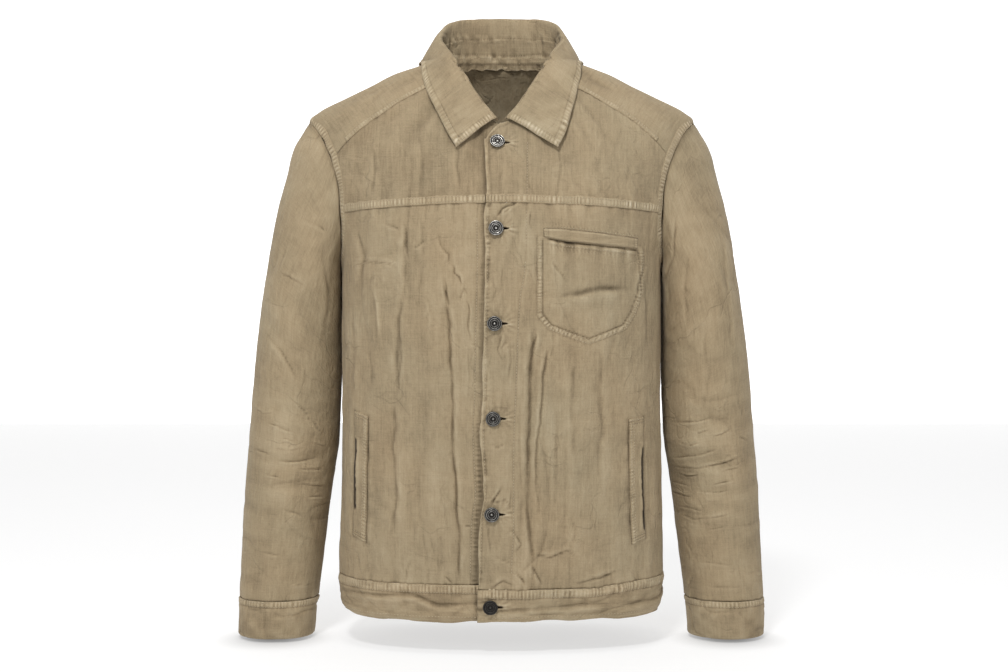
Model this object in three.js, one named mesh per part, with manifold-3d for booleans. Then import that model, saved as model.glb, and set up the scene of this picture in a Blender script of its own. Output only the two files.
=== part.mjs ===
// A linen trucker jacket, filled out as it is worn, with nobody in it.
// Millimetres, +Z up, front towards -Y. The origin is level with the neck points of the shoulders, on the
// middle line of the body. Left and right are the wearer's, so the left front is at +X.
import * as THREE from "three";
import { mergeVertices } from "three/addons/utils/BufferGeometryUtils.js";
import Module from "manifold-3d";

const wasm = await Module();
wasm.setup();

// Driving sizes
const shellThick = 2; // washed linen shell with its facing
const bandThick = 2.4; // waistband and cuffs
const collarThick = 2.4;
const pocketThick = 1.2;
const weltThick = 2.4;
const seamGap = 0.3; // between pieces that meet at a seam
const layerGap = 1.1; // between pieces that lie on each other
const hemZ = -660;
const bandTopZ = -619;
const cuffTopZ = -651;
const cuffEndZ = -696;
const neckHalf = 78; // half the neck's width at the shoulder's neck points
const neckDrop = 89; // how far the front neck lies below them
const backNeckRise = 5;
const neckCorner = 58; // where the shoulder seam in front meets the neck, from the middle
const overlapWide = 35; // how far the under front reaches past the upper front's edge
const buttonWide = 17.2;
const buttonRise = 0.9; // its underside above the cloth
const buttonZ = [-113, -213, -321, -429, -538, -643];

const deg = Math.PI / 180;
const lerp = (a, b, t) => a + (b - a) * t;
const clamp = (v, low, high) => Math.min(high, Math.max(low, v));
const ease = (t) => clamp(t, 0, 1) ** 2 * (3 - 2 * clamp(t, 0, 1));
const spread = (from, to, steps) => Array.from({ length: steps + 1 }, (_, i) => lerp(from, to, i / steps));

// Reads a short table as smooth curves: the result gives a named column at any value of the key.
function curves(rows, key) {
  const at = rows.map((row) => row[key]);
  const columns = {};
  for (const name of Object.keys(rows[0])) {
    const value = rows.map((row) => row[name]);
    const step = at.slice(1).map((x, i) => (value[i + 1] - value[i]) / (x - at[i]));
    const slope = value.map((_, i) => {
      if (i === 0) return step[0];
      if (i === step.length) return step[i - 1];
      return step[i - 1] * step[i] <= 0 ? 0 : (2 * step[i - 1] * step[i]) / (step[i - 1] + step[i]);
    });
    columns[name] = { value, slope };
  }
  return (x, name) => {
    const { value, slope } = columns[name];
    const last = at.length - 1;
    if (x <= at[0]) return value[0] + slope[0] * (x - at[0]);
    if (x >= at[last]) return value[last] + slope[last] * (x - at[last]);
    let i = 0;
    while (x > at[i + 1]) i += 1;
    const wide = at[i + 1] - at[i];
    const t = (x - at[i]) / wide;
    return (
      value[i] * (1 + 2 * t) * (1 - t) ** 2 +
      slope[i] * wide * t * (1 - t) ** 2 +
      value[i + 1] * t * t * (3 - 2 * t) +
      slope[i + 1] * wide * t * t * (t - 1)
    );
  };
}

// The value between low and high where test turns from true to false.
function solve(low, high, test) {
  for (let i = 0; i < 40; i += 1) {
    const middle = (low + high) / 2;
    if (test(middle)) low = middle;
    else high = middle;
  }
  return (low + high) / 2;
}

// Level sections of the body: half width, depth to the front and to the back, and how square they are.
const torso = curves(
  [
    { z: -660, side: 191, front: 117, back: 110, square: 2.5 },
    { z: -640, side: 195, front: 121, back: 113, square: 2.5 },
    { z: -619, side: 196, front: 122, back: 114, square: 2.5 },
    { z: -520, side: 194, front: 124, back: 112, square: 2.45 },
    { z: -420, side: 192.5, front: 127, back: 112, square: 2.4 },
    { z: -330, side: 193, front: 129, back: 117, square: 2.4 },
    { z: -252, side: 193.5, front: 128, back: 121, square: 2.4 },
    { z: -207, side: 200, front: 125, back: 120, square: 2.4 },
    { z: -183, side: 207, front: 122, back: 118, square: 2.35 },
    { z: -160, side: 213, front: 118, back: 115, square: 2.3 },
    { z: -130, side: 223, front: 109, back: 110, square: 2.25 },
    { z: -100, side: 232, front: 95, back: 104, square: 2.2 },
    { z: -75, side: 234, front: 79, back: 97, square: 2.15 },
    { z: -63, side: 221.5, front: 73, back: 93, square: 2.1 },
    { z: -48, side: 192, front: 66, back: 88, square: 2.1 },
    { z: -34, side: 163, front: 60, back: 82, square: 2.1 },
    { z: -19, side: 133.5, front: 54, back: 75, square: 2.1 },
    { z: -9, side: 104, front: 49, back: 69, square: 2.1 },
    { z: 0, side: 78, front: 45, back: 64, square: 2.1 },
    { z: 6, side: 72, front: 42, back: 61, square: 2.1 },
  ],
  "z",
);

// The upper front's free edge, as it wavers down the body.
const frontEdge = curves(
  [
    { z: -660, x: -27.5 },
    { z: -600, x: -26.8 },
    { z: -550, x: -25.5 },
    { z: -515, x: -21 },
    { z: -480, x: -22.5 },
    { z: -440, x: -23.8 },
    { z: -400, x: -21.6 },
    { z: -345, x: -21 },
    { z: -290, x: -19.6 },
    { z: -240, x: -18.6 },
    { z: -205, x: -19.4 },
    { z: -170, x: -16.8 },
    { z: -142, x: -18.2 },
    { z: -100, x: -20.4 },
  ],
  "z",
);
const buttonX = (z) => lerp(-4.6, -12.5, (z - buttonZ[0]) / (buttonZ[5] - buttonZ[0]));

// The shoulder seam in front, from the neck to the armhole and past it.
const yokeSeam = curves(
  [
    { x: 58, z: -27.5 },
    { x: 96, z: -44.5 },
    { x: 148, z: -77.5 },
    { x: 174.5, z: -99 },
    { x: 191, z: -115 },
    { x: 205, z: -131 },
    { x: 240, z: -172 },
  ],
  "x",
);
const chestSeam = (x) => -183 - 7 * (x / 192) ** 2;
const backSeamZ = -118;

// Soft folds as they lie on the front and the back: two ends as seen square on, height and half width.
// A positive rise is a ridge and a negative one a trough.
const torsoFolds = [
  { face: 1, x0: -62, z0: -270, x1: -49, z1: -612, rise: -3.2, wide: 9 },
  { face: 1, x0: -82, z0: -250, x1: -70, z1: -600, rise: 2.2, wide: 12 },
  { face: 1, x0: -122, z0: -330, x1: -130, z1: -560, rise: -2.4, wide: 11 },
  { face: 1, x0: -146, z0: -225, x1: -142, z1: -420, rise: 2.4, wide: 10 },
  { face: 1, x0: 34, z0: -330, x1: 33, z1: -600, rise: -3, wide: 8 },
  { face: 1, x0: 52, z0: -360, x1: 44, z1: -590, rise: 2.4, wide: 8 },
  { face: 1, x0: 82, z0: -360, x1: 78, z1: -570, rise: 2, wide: 14 },
  { face: 1, x0: 118, z0: -400, x1: 112, z1: -600, rise: -2, wide: 13 },
  { face: 1, x0: -70, z0: -215, x1: -38, z1: -300, rise: -2, wide: 10 },
  { face: 1, x0: 50, z0: -100, x1: 54, z1: -172, rise: -1.4, wide: 9 },
  { face: 1, x0: -80, z0: -105, x1: -66, z1: -172, rise: -1.4, wide: 9 },
  { face: -1, x0: -120, z0: -150, x1: -96, z1: -560, rise: -2.8, wide: 15 },
  { face: -1, x0: -62, z0: -260, x1: -54, z1: -600, rise: 2.6, wide: 14 },
  { face: -1, x0: 6, z0: -140, x1: -4, z1: -420, rise: -2.2, wide: 15 },
  { face: -1, x0: 58, z0: -220, x1: 70, z1: -590, rise: 2.4, wide: 15 },
  { face: -1, x0: 118, z0: -160, x1: 108, z1: -540, rise: -2.8, wide: 15 },
];

// A fold's share at a point: 1 along its middle, fading across it and towards its ends.
function foldShare(fold, x, z) {
  const dx = fold.x1 - fold.x0;
  const dz = fold.z1 - fold.z0;
  const long = Math.hypot(dx, dz);
  const along = ((x - fold.x0) * dx + (z - fold.z0) * dz) / long;
  const across = ((x - fold.x0) * dz - (z - fold.z0) * dx) / long;
  const fade = Math.min(45, long / 3);
  return Math.exp(-((across / fold.wide) ** 2)) * ease(along / fade) * ease((long - along) / fade);
}

function torsoRise(x, z, face) {
  return torsoFolds
    .filter((fold) => fold.face === face)
    .reduce((sum, fold) => sum + fold.rise * foldShare(fold, x, z), 0);
}

// The body's smooth outer face at a turn round it, 0 at centre front and growing towards +X.
function bare(turn, z) {
  const across = Math.abs(Math.sin(turn)) / torso(z, "side");
  const deep = Math.abs(Math.cos(turn)) / torso(z, Math.cos(turn) >= 0 ? "front" : "back");
  const square = torso(z, "square");
  const radius = (across ** square + deep ** square) ** (-1 / square);
  return new THREE.Vector3(radius * Math.sin(turn), -radius * Math.cos(turn), z);
}

// A point of the body's cloth with its normal, folds included, and moved out by lift.
function cloth(turn, z, lift = 0) {
  const step = 0.002;
  const right = bare(turn + step, z).sub(bare(turn - step, z));
  const up = bare(turn, z + 0.3).sub(bare(turn, z - 0.3));
  const normal = right.cross(up).normalize();
  const point = bare(turn, z);
  const rise = torsoRise(point.x, z, Math.cos(turn) >= 0 ? 1 : -1);
  return { point: point.addScaledVector(normal, rise + lift), normal };
}

// The turn at which the front, or the back, has a given x at a height.
function turnAt(x, z, face) {
  const square = torso(z, "square");
  const share = clamp(Math.abs(x) / torso(z, "side"), 0, 1);
  const deep = torso(z, face > 0 ? "front" : "back") * (1 - share ** square) ** (1 / square);
  return Math.atan2(x, face * deep);
}

// The armhole of the right-hand side, seen from the side: 0 at its top, 90 degrees at its front.
const armhole = { z: -163.5, y: 0, high: 88.5, deep: 60 };
function armholeAt(angle) {
  const z = armhole.z + armhole.high * Math.cos(angle);
  const y = armhole.y - armhole.deep * Math.sin(angle);
  const square = torso(z, "square");
  const share = (Math.abs(y) / torso(z, y < 0 ? "front" : "back")) ** square;
  const x = torso(z, "side") * (1 - share) ** (1 / square);
  return { x, y, z, turn: Math.atan2(x, -y) };
}
const frontYokeTurn = solve(30 * deg, 110 * deg, (a) => armholeAt(a).z > yokeSeam(armholeAt(a).x, "z"));
const chestTurn = solve(60 * deg, 170 * deg, (a) => armholeAt(a).z > chestSeam(armholeAt(a).x));
const backYokeTurn = solve(20 * deg, 120 * deg, (a) => armholeAt(-a).z > backSeamZ);
const armpitTurn = 180 * deg;

// Where the armhole's seam has its points, shared by the panels and the sleeve.
const armSteps = {
  yokeFront: spread(0, frontYokeTurn, 5),
  upperFront: spread(frontYokeTurn, chestTurn, 4),
  lowerFront: spread(chestTurn, armpitTurn, 4),
  yokeBack: spread(0, -backYokeTurn, 4),
  back: spread(-backYokeTurn, -armpitTurn, 6),
};

const ridge = (x) => solve(-75, 0, (z) => torso(z, "side") > x);
const frontNeck = (x) =>
  x >= 0 ? -neckDrop * (1 - Math.min(1, x / neckHalf) ** 1.3) : -neckDrop - 19 * Math.min(1, -x / 18) ** 1.6;
const backNeck = (x) => backNeckRise * (1 - (x / neckHalf) ** 2);

// The neck seam, by its angle round the neck from centre back to centre front.
function neckAt(angle, side = -1) {
  const x = neckHalf * Math.sin(angle);
  const face = Math.cos(angle) > 0 ? -1 : 1;
  const z = face > 0 ? frontNeck(x) : backNeck(x);
  return cloth(turnAt(x, z, face), z, face > 0 && side > 0 ? liftAt(x) : 0);
}

// A patch of cloth as points in rows and columns, with faces between them.
class Patch {
  constructor() {
    this.nodes = [];
    this.faces = [];
    this.known = new Map();
  }
  node(made) {
    const name = made.point.toArray().map((v) => Math.round(v * 50)).join();
    if (!this.known.has(name)) {
      this.known.set(name, this.nodes.length);
      this.nodes.push(made);
    }
    return this.known.get(name);
  }
  // Columns run to the right and rows upwards, as seen from outside.
  grid(columns, rows, at) {
    const id = columns.map((c, i) => rows.map((r, j) => this.node(at(c, r, i, j))));
    for (let i = 0; i + 1 < columns.length; i += 1) {
      for (let j = 0; j + 1 < rows.length; j += 1) {
        const [a, b, c, d] = [id[i][j], id[i + 1][j], id[i + 1][j + 1], id[i][j + 1]];
        const turned = (i + j) % 2 === 0;
        this.face(a, b, turned ? c : d);
        this.face(turned ? a : b, c, d);
      }
    }
    return this;
  }
  face(a, b, c) {
    if (a !== b && b !== c && c !== a) this.faces.push([a, b, c]);
  }
}

// Turns a patch into a closed wall: its outer face, its inner face and the edges between.
function wall(patch, thick, lift = 0) {
  const positions = [];
  for (const away of [lift, lift - thick]) {
    for (const { point, normal } of patch.nodes) {
      positions.push(...point.clone().addScaledVector(normal, away).toArray());
    }
  }
  const count = patch.nodes.length;
  const index = [];
  const open = new Map();
  for (const [a, b, c] of patch.faces) {
    index.push(a, b, c, c + count, b + count, a + count);
    for (const [p, q] of [[a, b], [b, c], [c, a]]) {
      if (!open.delete(q + "," + p)) open.set(p + "," + q, [p, q]);
    }
  }
  for (const [p, q] of open.values()) index.push(q, p, p + count, q, p + count, q + count);
  const geometry = new THREE.BufferGeometry();
  geometry.setAttribute("position", new THREE.Float32BufferAttribute(positions, 3));
  geometry.setIndex(index);
  return geometry;
}

// Booleans on geometries, for buttonholes and pocket outlines.
function solidOf(geometry) {
  const bareShape = new THREE.BufferGeometry().setAttribute("position", geometry.getAttribute("position"));
  if (geometry.index) bareShape.setIndex(geometry.index);
  const merged = mergeVertices(bareShape, 1e-4);
  return new wasm.Manifold(
    new wasm.Mesh({
      numProp: 3,
      vertProperties: new Float32Array(merged.getAttribute("position").array),
      triVerts: new Uint32Array(merged.index.array),
    }),
  );
}
function geometryOf(solid) {
  const mesh = solid.getMesh();
  const geometry = new THREE.BufferGeometry();
  geometry.setAttribute("position", new THREE.Float32BufferAttribute(mesh.vertProperties, 3));
  geometry.setIndex([...mesh.triVerts]);
  return geometry;
}

// A prism through the front: an outline drawn square on, from the jacket's middle out past the front.
function prism(outline) {
  const shape = new THREE.Shape(outline.map(({ x, z }) => new THREE.Vector2(x, z)));
  return new THREE.ExtrudeGeometry(shape, { depth: 175, bevelEnabled: false }).rotateX(90 * deg);
}

// Columns of a front panel near its free edge, in millimetres from that edge, shared by both fronts.
const edgeSteps = [0, 7, 14, 24, overlapWide];
const liftAt = (x) => (shellThick + layerGap) * (1 - ease((x - 22) / 32));
const bandLift = (x, upper) => 0.6 + (upper ? liftAt(x) * 1.15 : 0);

// A front's columns, from the left to the right as seen from outside: by millimetres from the upper
// front's edge where the fronts overlap, then by their share of the way to the side.
function frontColumns(side, spaced) {
  const shares = spaced.slice(1).map((share) => ({ share }));
  const steps = edgeSteps.map((step) => ({ step }));
  return side > 0 ? [...steps, ...shares] : [...shares.toReversed(), { step: -9 }, ...steps];
}
const innerStep = (side) => (side > 0 ? overlapWide : -9);

// The lower front: side is 1 for the left front, which lies on top, and -1 for the right.
const lowerRows = spread(bandTopZ + seamGap, -264, 11);
const sideTurn = (face) => 90 * deg - (face * seamGap) / 2 / 193;
function lowerFront(side) {
  const rows = [
    ...lowerRows.map((z) => ({ z, x: 193, turn: sideTurn(1) })),
    ...armSteps.lowerFront.toReversed().map(armholeAt),
  ];
  const topAt = (x) => chestSeam(x) - seamGap;
  return new Patch().grid(frontColumns(side, spread(0, 1, 13)), rows, (column, row) => {
    const share = (row.z - bandTopZ - seamGap) / (topAt(row.x) - bandTopZ - seamGap);
    const turnOf = (z) => {
      const start = turnAt(frontEdge(z, "x") + (column.step ?? innerStep(side)), z, 1);
      if (column.share === undefined) return start;
      return lerp(start, side * Math.min(row.turn, sideTurn(1)), column.share);
    };
    let z = row.z;
    for (let i = 0; i < 6; i += 1) {
      z = lerp(bandTopZ + seamGap, topAt(bare(turnOf(z), z).x), clamp(share, 0, 1));
    }
    const turn = turnOf(z);
    return cloth(turn, z, side > 0 ? liftAt(bare(turn, z).x) : 0);
  });
}

function upperFront(side) {
  const topAt = (x) => (side * x < neckCorner ? frontNeck(side * x) : yokeSeam(side * x, "z")) - seamGap;
  const bottomAt = (x) => chestSeam(x) + seamGap;
  const start = side * (frontEdge(-100, "x") + innerStep(side));
  const neckShare = (neckCorner - start) / (armholeAt(frontYokeTurn).x - start);
  const spaced = [...spread(0, neckShare, 4), ...spread(neckShare, 1, 6).slice(1)];
  return new Patch().grid(frontColumns(side, spaced), armSteps.upperFront.toReversed(), (column, angle) => {
    const arm = armholeAt(angle);
    const share = clamp((arm.z - bottomAt(arm.x)) / (topAt(side * arm.x) - bottomAt(arm.x)), 0, 1);
    let z = lerp(-183, -90, share);
    let x = 0;
    for (let i = 0; i < 12; i += 1) {
      const start = frontEdge(z, "x") + (column.step ?? innerStep(side));
      x = column.share === undefined ? start : lerp(start, side * arm.x, column.share);
      z = lerp(z, lerp(bottomAt(x), topAt(x), share), 0.8);
    }
    return cloth(turnAt(x, z, 1), z, side > 0 ? liftAt(x) : 0);
  });
}

// The back below its yoke, from side seam to side seam.
function backPanel() {
  const patch = new Patch();
  const rows = [
    ...lowerRows.map((z) => ({ z })),
    ...armSteps.back.toReversed().map((angle) => ({ angle })),
  ];
  return patch.grid(spread(1, -1, 18), rows, (share, row) => {
    const arm = row.angle === undefined ? null : armholeAt(row.angle);
    const z = arm ? Math.min(arm.z, backSeamZ - seamGap) : row.z;
    const edge = Math.max(arm ? arm.turn : 0, sideTurn(-1));
    return cloth(180 * deg - share * (180 * deg - edge), z);
  });
}

// The yoke: over both shoulders, round the back of the neck, and down to the back seam.
function yoke() {
  const patch = new Patch();
  const cut = backSeamZ + seamGap;
  // How far down from the ridge each of the armhole's points lies, as a share of the way to the seam.
  const downShares = (angles, seamAt) =>
    angles.map((angle, i) => {
      const arm = armholeAt(angle);
      return i === 0 ? 0 : clamp((ridge(arm.x) - arm.z) / (ridge(arm.x) - seamAt(arm.x)), 0, 1);
    });
  const backShare = downShares(armSteps.yokeBack, () => cut);
  const frontShare = downShares(armSteps.yokeFront, (x) => yokeSeam(x, "z") + seamGap);
  const shoulderSteps = spread(0, 1, 7);
  const neckSteps = spread(0, 1, 5);
  for (const side of [1, -1]) {
    // Back half: columns from centre back to the armhole.
    const columns = [
      ...neckSteps.map((share) => ({ neck: share })),
      ...shoulderSteps.slice(1).map((share) => ({ share })),
    ];
    const order = side > 0 ? columns.toReversed() : columns;
    const rows = armSteps.yokeBack.map((angle, k) => ({ angle, share: backShare[k] })).toReversed();
    const cornerX = 84;
    patch.grid(order, rows, (column, row) => {
      const arm = armholeAt(row.angle);
      const down = Math.sqrt(row.share);
      let x;
      let top;
      let fall = 1;
      if (column.neck !== undefined) {
        const start = neckHalf * Math.sin(column.neck * 90 * deg);
        x = lerp(start, cornerX * column.neck, down);
        top = lerp(backNeck(start), x > neckHalf ? ridge(x) : 0, column.neck);
        fall = lerp(down, row.share, column.neck);
      } else {
        x = lerp(lerp(neckHalf, cornerX, down), arm.x, column.share);
        top = ridge(x);
        fall = row.share;
      }
      const z = lerp(top, cut, fall);
      const turn = row.share === 0 && column.neck === undefined ? 90 * deg : turnAt(x, z, -1);
      return cloth(side * turn, z);
    });
    // Front half: from the ridge of the shoulder down to the seam in front.
    const frontRows = armSteps.yokeFront.map((angle, k) => ({ angle, share: frontShare[k] })).toReversed();
    patch.grid(side > 0 ? shoulderSteps : shoulderSteps.toReversed(), frontRows, (share, row) => {
      const arm = armholeAt(row.angle);
      const neckX = row.share === 0 ? neckHalf
        : solve(neckCorner, neckHalf, (x) => frontNeck(x) < yokeSeam(x, "z") * row.share);
      const x = lerp(neckX, arm.x, share);
      const top = x > neckHalf ? ridge(x) : 0;
      const z = lerp(top, yokeSeam(x, "z") + seamGap, row.share);
      const turn = row.share === 0 ? 90 * deg : turnAt(x, z, 1);
      return cloth(side * turn, z);
    });
  }
  return patch;
}

// The waistband: from the upper end, round the body, to the end that lies under it.
function waistband() {
  const patch = new Patch();
  const rows = [hemZ, -648, -632, bandTopZ];
  const startAt = (z) => frontEdge(z, "x");
  const columns = [
    ...edgeSteps.map((step) => ({ step, under: false })),
    ...spread(0, 1, 34).slice(1, -1).map((share) => ({ share })),
    ...[-9, ...edgeSteps].map((step) => ({ step, under: true })),
  ];
  return patch.grid(columns, rows, (column, z) => {
    const from = turnAt(startAt(z) + overlapWide, z, 1);
    const to = 360 * deg + turnAt(startAt(z) - 9, z, 1);
    let turn = lerp(from, to, column.share ?? 0);
    if (column.step !== undefined) turn = turnAt(startAt(z) + column.step, z, 1);
    const x = bare(turn, z).x;
    const upper = column.under !== true && turn < 90 * deg;
    return cloth(turn, z, bandLift(x, upper));
  });
}

// Level sections of the sleeve: outer and inner side, middle and half depth.
const sleeve = curves(
  [
    { z: -696, outer: 319, inner: 228, y: -2, deep: 46 },
    { z: -651, outer: 318.5, inner: 223.5, y: 0, deep: 49 },
    { z: -596, outer: 316.6, inner: 216.6, y: 3, deep: 52 },
    { z: -523, outer: 313.5, inner: 208, y: 8, deep: 56 },
    { z: -450, outer: 308, inner: 198.5, y: 12, deep: 60 },
    { z: -376, outer: 302.6, inner: 196, y: 13, deep: 63 },
    { z: -303, outer: 294, inner: 195.5, y: 12, deep: 65 },
    { z: -252, outer: 286, inner: 194.5, y: 9, deep: 65 },
    { z: -211, outer: 279.4, inner: 184, y: 7, deep: 62 },
    { z: -175, outer: 271.5, inner: 175, y: 5, deep: 59 },
    { z: -138, outer: 260, inner: 170, y: 4, deep: 56 },
    { z: -102, outer: 248.5, inner: 166, y: 4, deep: 51 },
    { z: -75, outer: 235, inner: 164, y: 4, deep: 46 },
  ],
  "z",
);

// Folds across the sleeve: middle turn and its reach in degrees, height and its slope, ridge or trough.
const sleeveFolds = {
  "1": [
    { turn: 75, reach: 75, z: -437, lean: 0.28, rise: -2.6, wide: 8 },
    { turn: 100, reach: 70, z: -468, lean: 0.22, rise: 2.4, wide: 9 },
    { turn: 95, reach: 80, z: -492, lean: 0.2, rise: -2.8, wide: 8 },
    { turn: 95, reach: 75, z: -522, lean: 0.12, rise: -2.2, wide: 8 },
    { turn: 80, reach: 60, z: -610, lean: -0.05, rise: -1.8, wide: 9 },
    { turn: 250, reach: 60, z: -470, lean: -0.1, rise: -2.4, wide: 11 },
    { turn: 60, reach: 60, z: -250, lean: 0.9, rise: -2.2, wide: 14 },
  ],
  "-1": [
    { turn: 60, reach: 60, z: -330, lean: -0.8, rise: -2.4, wide: 14 },
    { turn: 95, reach: 70, z: -440, lean: -0.25, rise: 2.2, wide: 10 },
    { turn: 110, reach: 70, z: -486, lean: 0.04, rise: -2.8, wide: 8 },
    { turn: 115, reach: 65, z: -516, lean: -0.05, rise: -2.2, wide: 8 },
    { turn: 85, reach: 60, z: -612, lean: 0.05, rise: -1.6, wide: 9 },
    { turn: 250, reach: 60, z: -480, lean: 0.1, rise: -2.4, wide: 11 },
    { turn: 60, reach: 60, z: -235, lean: 0.8, rise: -2, wide: 14 },
  ],
};
function sleeveRise(side, turn, z) {
  return sleeveFolds[side].reduce((sum, fold) => {
    const away = ((((turn / deg - fold.turn) % 360) + 540) % 360) - 180;
    const across = (z - fold.z - fold.lean * away) / fold.wide;
    return sum + fold.rise * Math.exp(-(across ** 2)) * ease(1 - Math.abs(away) / fold.reach);
  }, 0);
}

// A sleeve's smooth outer face. The turn is 0 outside and 90 degrees in front, down is 0 at the armhole
// and 1 at the cuff.
function bareSleeve(turn, down) {
  const arm = armholeAt(turn);
  const tilt = arm.z - armhole.z;
  const z = lerp(armhole.z, cuffTopZ + seamGap, down) + tilt * Math.max(0, 1 - down) ** 2.2;
  const section = (height) => {
    const outer = sleeve(height, "outer");
    const inner = sleeve(height, "inner");
    const x = (outer + inner) / 2 + ((outer - inner) / 2) * Math.cos(turn);
    return { x, y: sleeve(height, "y") - sleeve(height, "deep") * Math.sin(turn) };
  };
  const start = section(arm.z);
  const here = section(z);
  const hold = 1 - ease((arm.z - z) / 170);
  const off = seamGap + 0.2;
  return new THREE.Vector3(here.x + (arm.x + off - start.x) * hold, here.y + (arm.y - start.y) * hold, z);
}
function sleeveCloth(side, turn, down) {
  const around = bareSleeve(turn - 0.01, down).sub(bareSleeve(turn + 0.01, down));
  const low = Math.max(0, down - 0.004);
  const along = bareSleeve(turn, low).sub(bareSleeve(turn, low + 0.008));
  const normal = around.cross(along).normalize();
  const point = bareSleeve(turn, down);
  const calm = ease(down / 0.08) * ease((1 - down) / 0.03);
  point.addScaledVector(normal, sleeveRise(side, turn, point.z) * calm);
  point.x *= side;
  normal.x *= side;
  return { point, normal };
}

const ringTurns = [
  ...armSteps.yokeFront,
  ...armSteps.upperFront.slice(1),
  ...armSteps.lowerFront.slice(1),
  ...armSteps.back.toReversed().slice(1).map((angle) => angle + 360 * deg),
  ...armSteps.yokeBack.toReversed().slice(1).map((angle) => angle + 360 * deg),
];
const sleeveDowns = [
  0, 0.05, 0.11, 0.18, 0.26, 0.35, 0.44, 0.51, 0.555, 0.595, 0.63, 0.66, 0.69, 0.72, 0.76, 0.83, 0.9, 0.95, 1,
];
function sleevePatch(side) {
  const turns = side > 0 ? ringTurns.toReversed() : ringTurns;
  return new Patch().grid(turns, sleeveDowns.toReversed(), (turn, down) => sleeveCloth(side, turn, down));
}

// The cuff: a plain band below the sleeve.
function cuffPatch(side) {
  const turns = side > 0 ? ringTurns.toReversed() : ringTurns;
  const rows = [cuffEndZ, -674, cuffTopZ];
  return new Patch().grid(turns, rows, (turn, z) => {
    const outer = sleeve(z, "outer");
    const inner = sleeve(z, "inner");
    const x = (outer + inner) / 2 + ((outer - inner) / 2) * Math.cos(turn);
    const y = sleeve(z, "y") - sleeve(z, "deep") * Math.sin(turn);
    const normal = new THREE.Vector3(
      Math.cos(turn) * sleeve(z, "deep"),
      (-Math.sin(turn) * (outer - inner)) / 2,
      0,
    ).normalize();
    const point = new THREE.Vector3(x, y, z).addScaledVector(normal, 0.6);
    point.x *= side;
    normal.x *= side;
    return { point, normal };
  });
}

// Moves a point out from the body's cloth until it is this far away.
function clearOf(point, distance) {
  const level = (p) => {
    const square = torso(p.z, "square");
    const across = Math.abs(p.x) / torso(p.z, "side");
    const deep = Math.abs(p.y) / torso(p.z, p.y < 0 ? "front" : "back");
    return (across ** square + deep ** square) ** (1 / square);
  };
  const axes = [new THREE.Vector3(0.2, 0, 0), new THREE.Vector3(0, 0.2, 0), new THREE.Vector3(0, 0, 0.2)];
  for (let i = 0; i < 8; i += 1) {
    const slope = axes.map((axis) => (level(point.clone().add(axis)) - level(point.clone().sub(axis))) / 0.4);
    const out = new THREE.Vector3(...slope);
    const away = (level(point) - 1) / out.length();
    if (away > distance - 0.01) break;
    point.addScaledVector(out.normalize(), distance - away);
  }
  return point;
}

// The collar's fold line and outer edge, by the angle round the neck from centre back to centre front.
const collarLine = curves(
  [
    { turn: 0, foldX: 0, foldY: 68, foldZ: 65, edgeX: 0, edgeY: 83, edgeZ: -7 },
    { turn: 30, foldX: 37, foldY: 64, foldZ: 64, edgeX: 47, edgeY: 76, edgeZ: -6 },
    { turn: 60, foldX: 65, foldY: 40, foldZ: 55, edgeX: 83, edgeY: 51, edgeZ: -4 },
    { turn: 78, foldX: 74, foldY: 15, foldZ: 39, edgeX: 96, edgeY: 22, edgeZ: -4 },
    { turn: 90, foldX: 76, foldY: -1, foldZ: 28.5, edgeX: 98.5, edgeY: 3, edgeZ: -7 },
    { turn: 105, foldX: 69, foldY: -22, foldZ: 15, edgeX: 98, edgeY: -22, edgeZ: -17 },
    { turn: 120, foldX: 60, foldY: -40.5, foldZ: 1, edgeX: 92.5, edgeY: -50, edgeZ: -34 },
    { turn: 135, foldX: 51, foldY: -50, foldZ: -15, edgeX: 87.5, edgeY: -64, edgeZ: -50.5 },
    { turn: 150, foldX: 36, foldY: -66, foldZ: -40, edgeX: 78.5, edgeY: -80, edgeZ: -74 },
    { turn: 165, foldX: 20, foldY: -79, foldZ: -65.5, edgeX: 69.5, edgeY: -94, edgeZ: -97.5 },
    { turn: 180, foldX: 3, foldY: -92, foldZ: -86.5, edgeX: 55, edgeY: -111, edgeZ: -125 },
  ],
  "turn",
);
const collarLean = 6.7; // the right leaf's point lies this much nearer the middle than the left one's
const collarClear = 2.2; // between the leaf and the body under it
const standShare = 0.5; // where the seam between stand and fall lies, from the neck seam to the fold
const collarTurns = [0, 15, 30, 45, 59, 71, 82, 91, 99, 107, 115, 124, 134, 145, 156, 167, 176.5];

// The direction of the neck seam at an angle round it, from centre back to centre front.
function neckRun(along) {
  return neckAt((along + 1) * deg).point.sub(neckAt((along - 1) * deg).point).normalize();
}

function hermite(from, to, fromPull, toPull, t) {
  return from.clone().multiplyScalar((1 + 2 * t) * (1 - t) ** 2)
    .addScaledVector(fromPull, t * (1 - t) ** 2)
    .addScaledVector(to, t * t * (3 - 2 * t))
    .addScaledVector(toPull, t * t * (t - 1));
}

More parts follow.
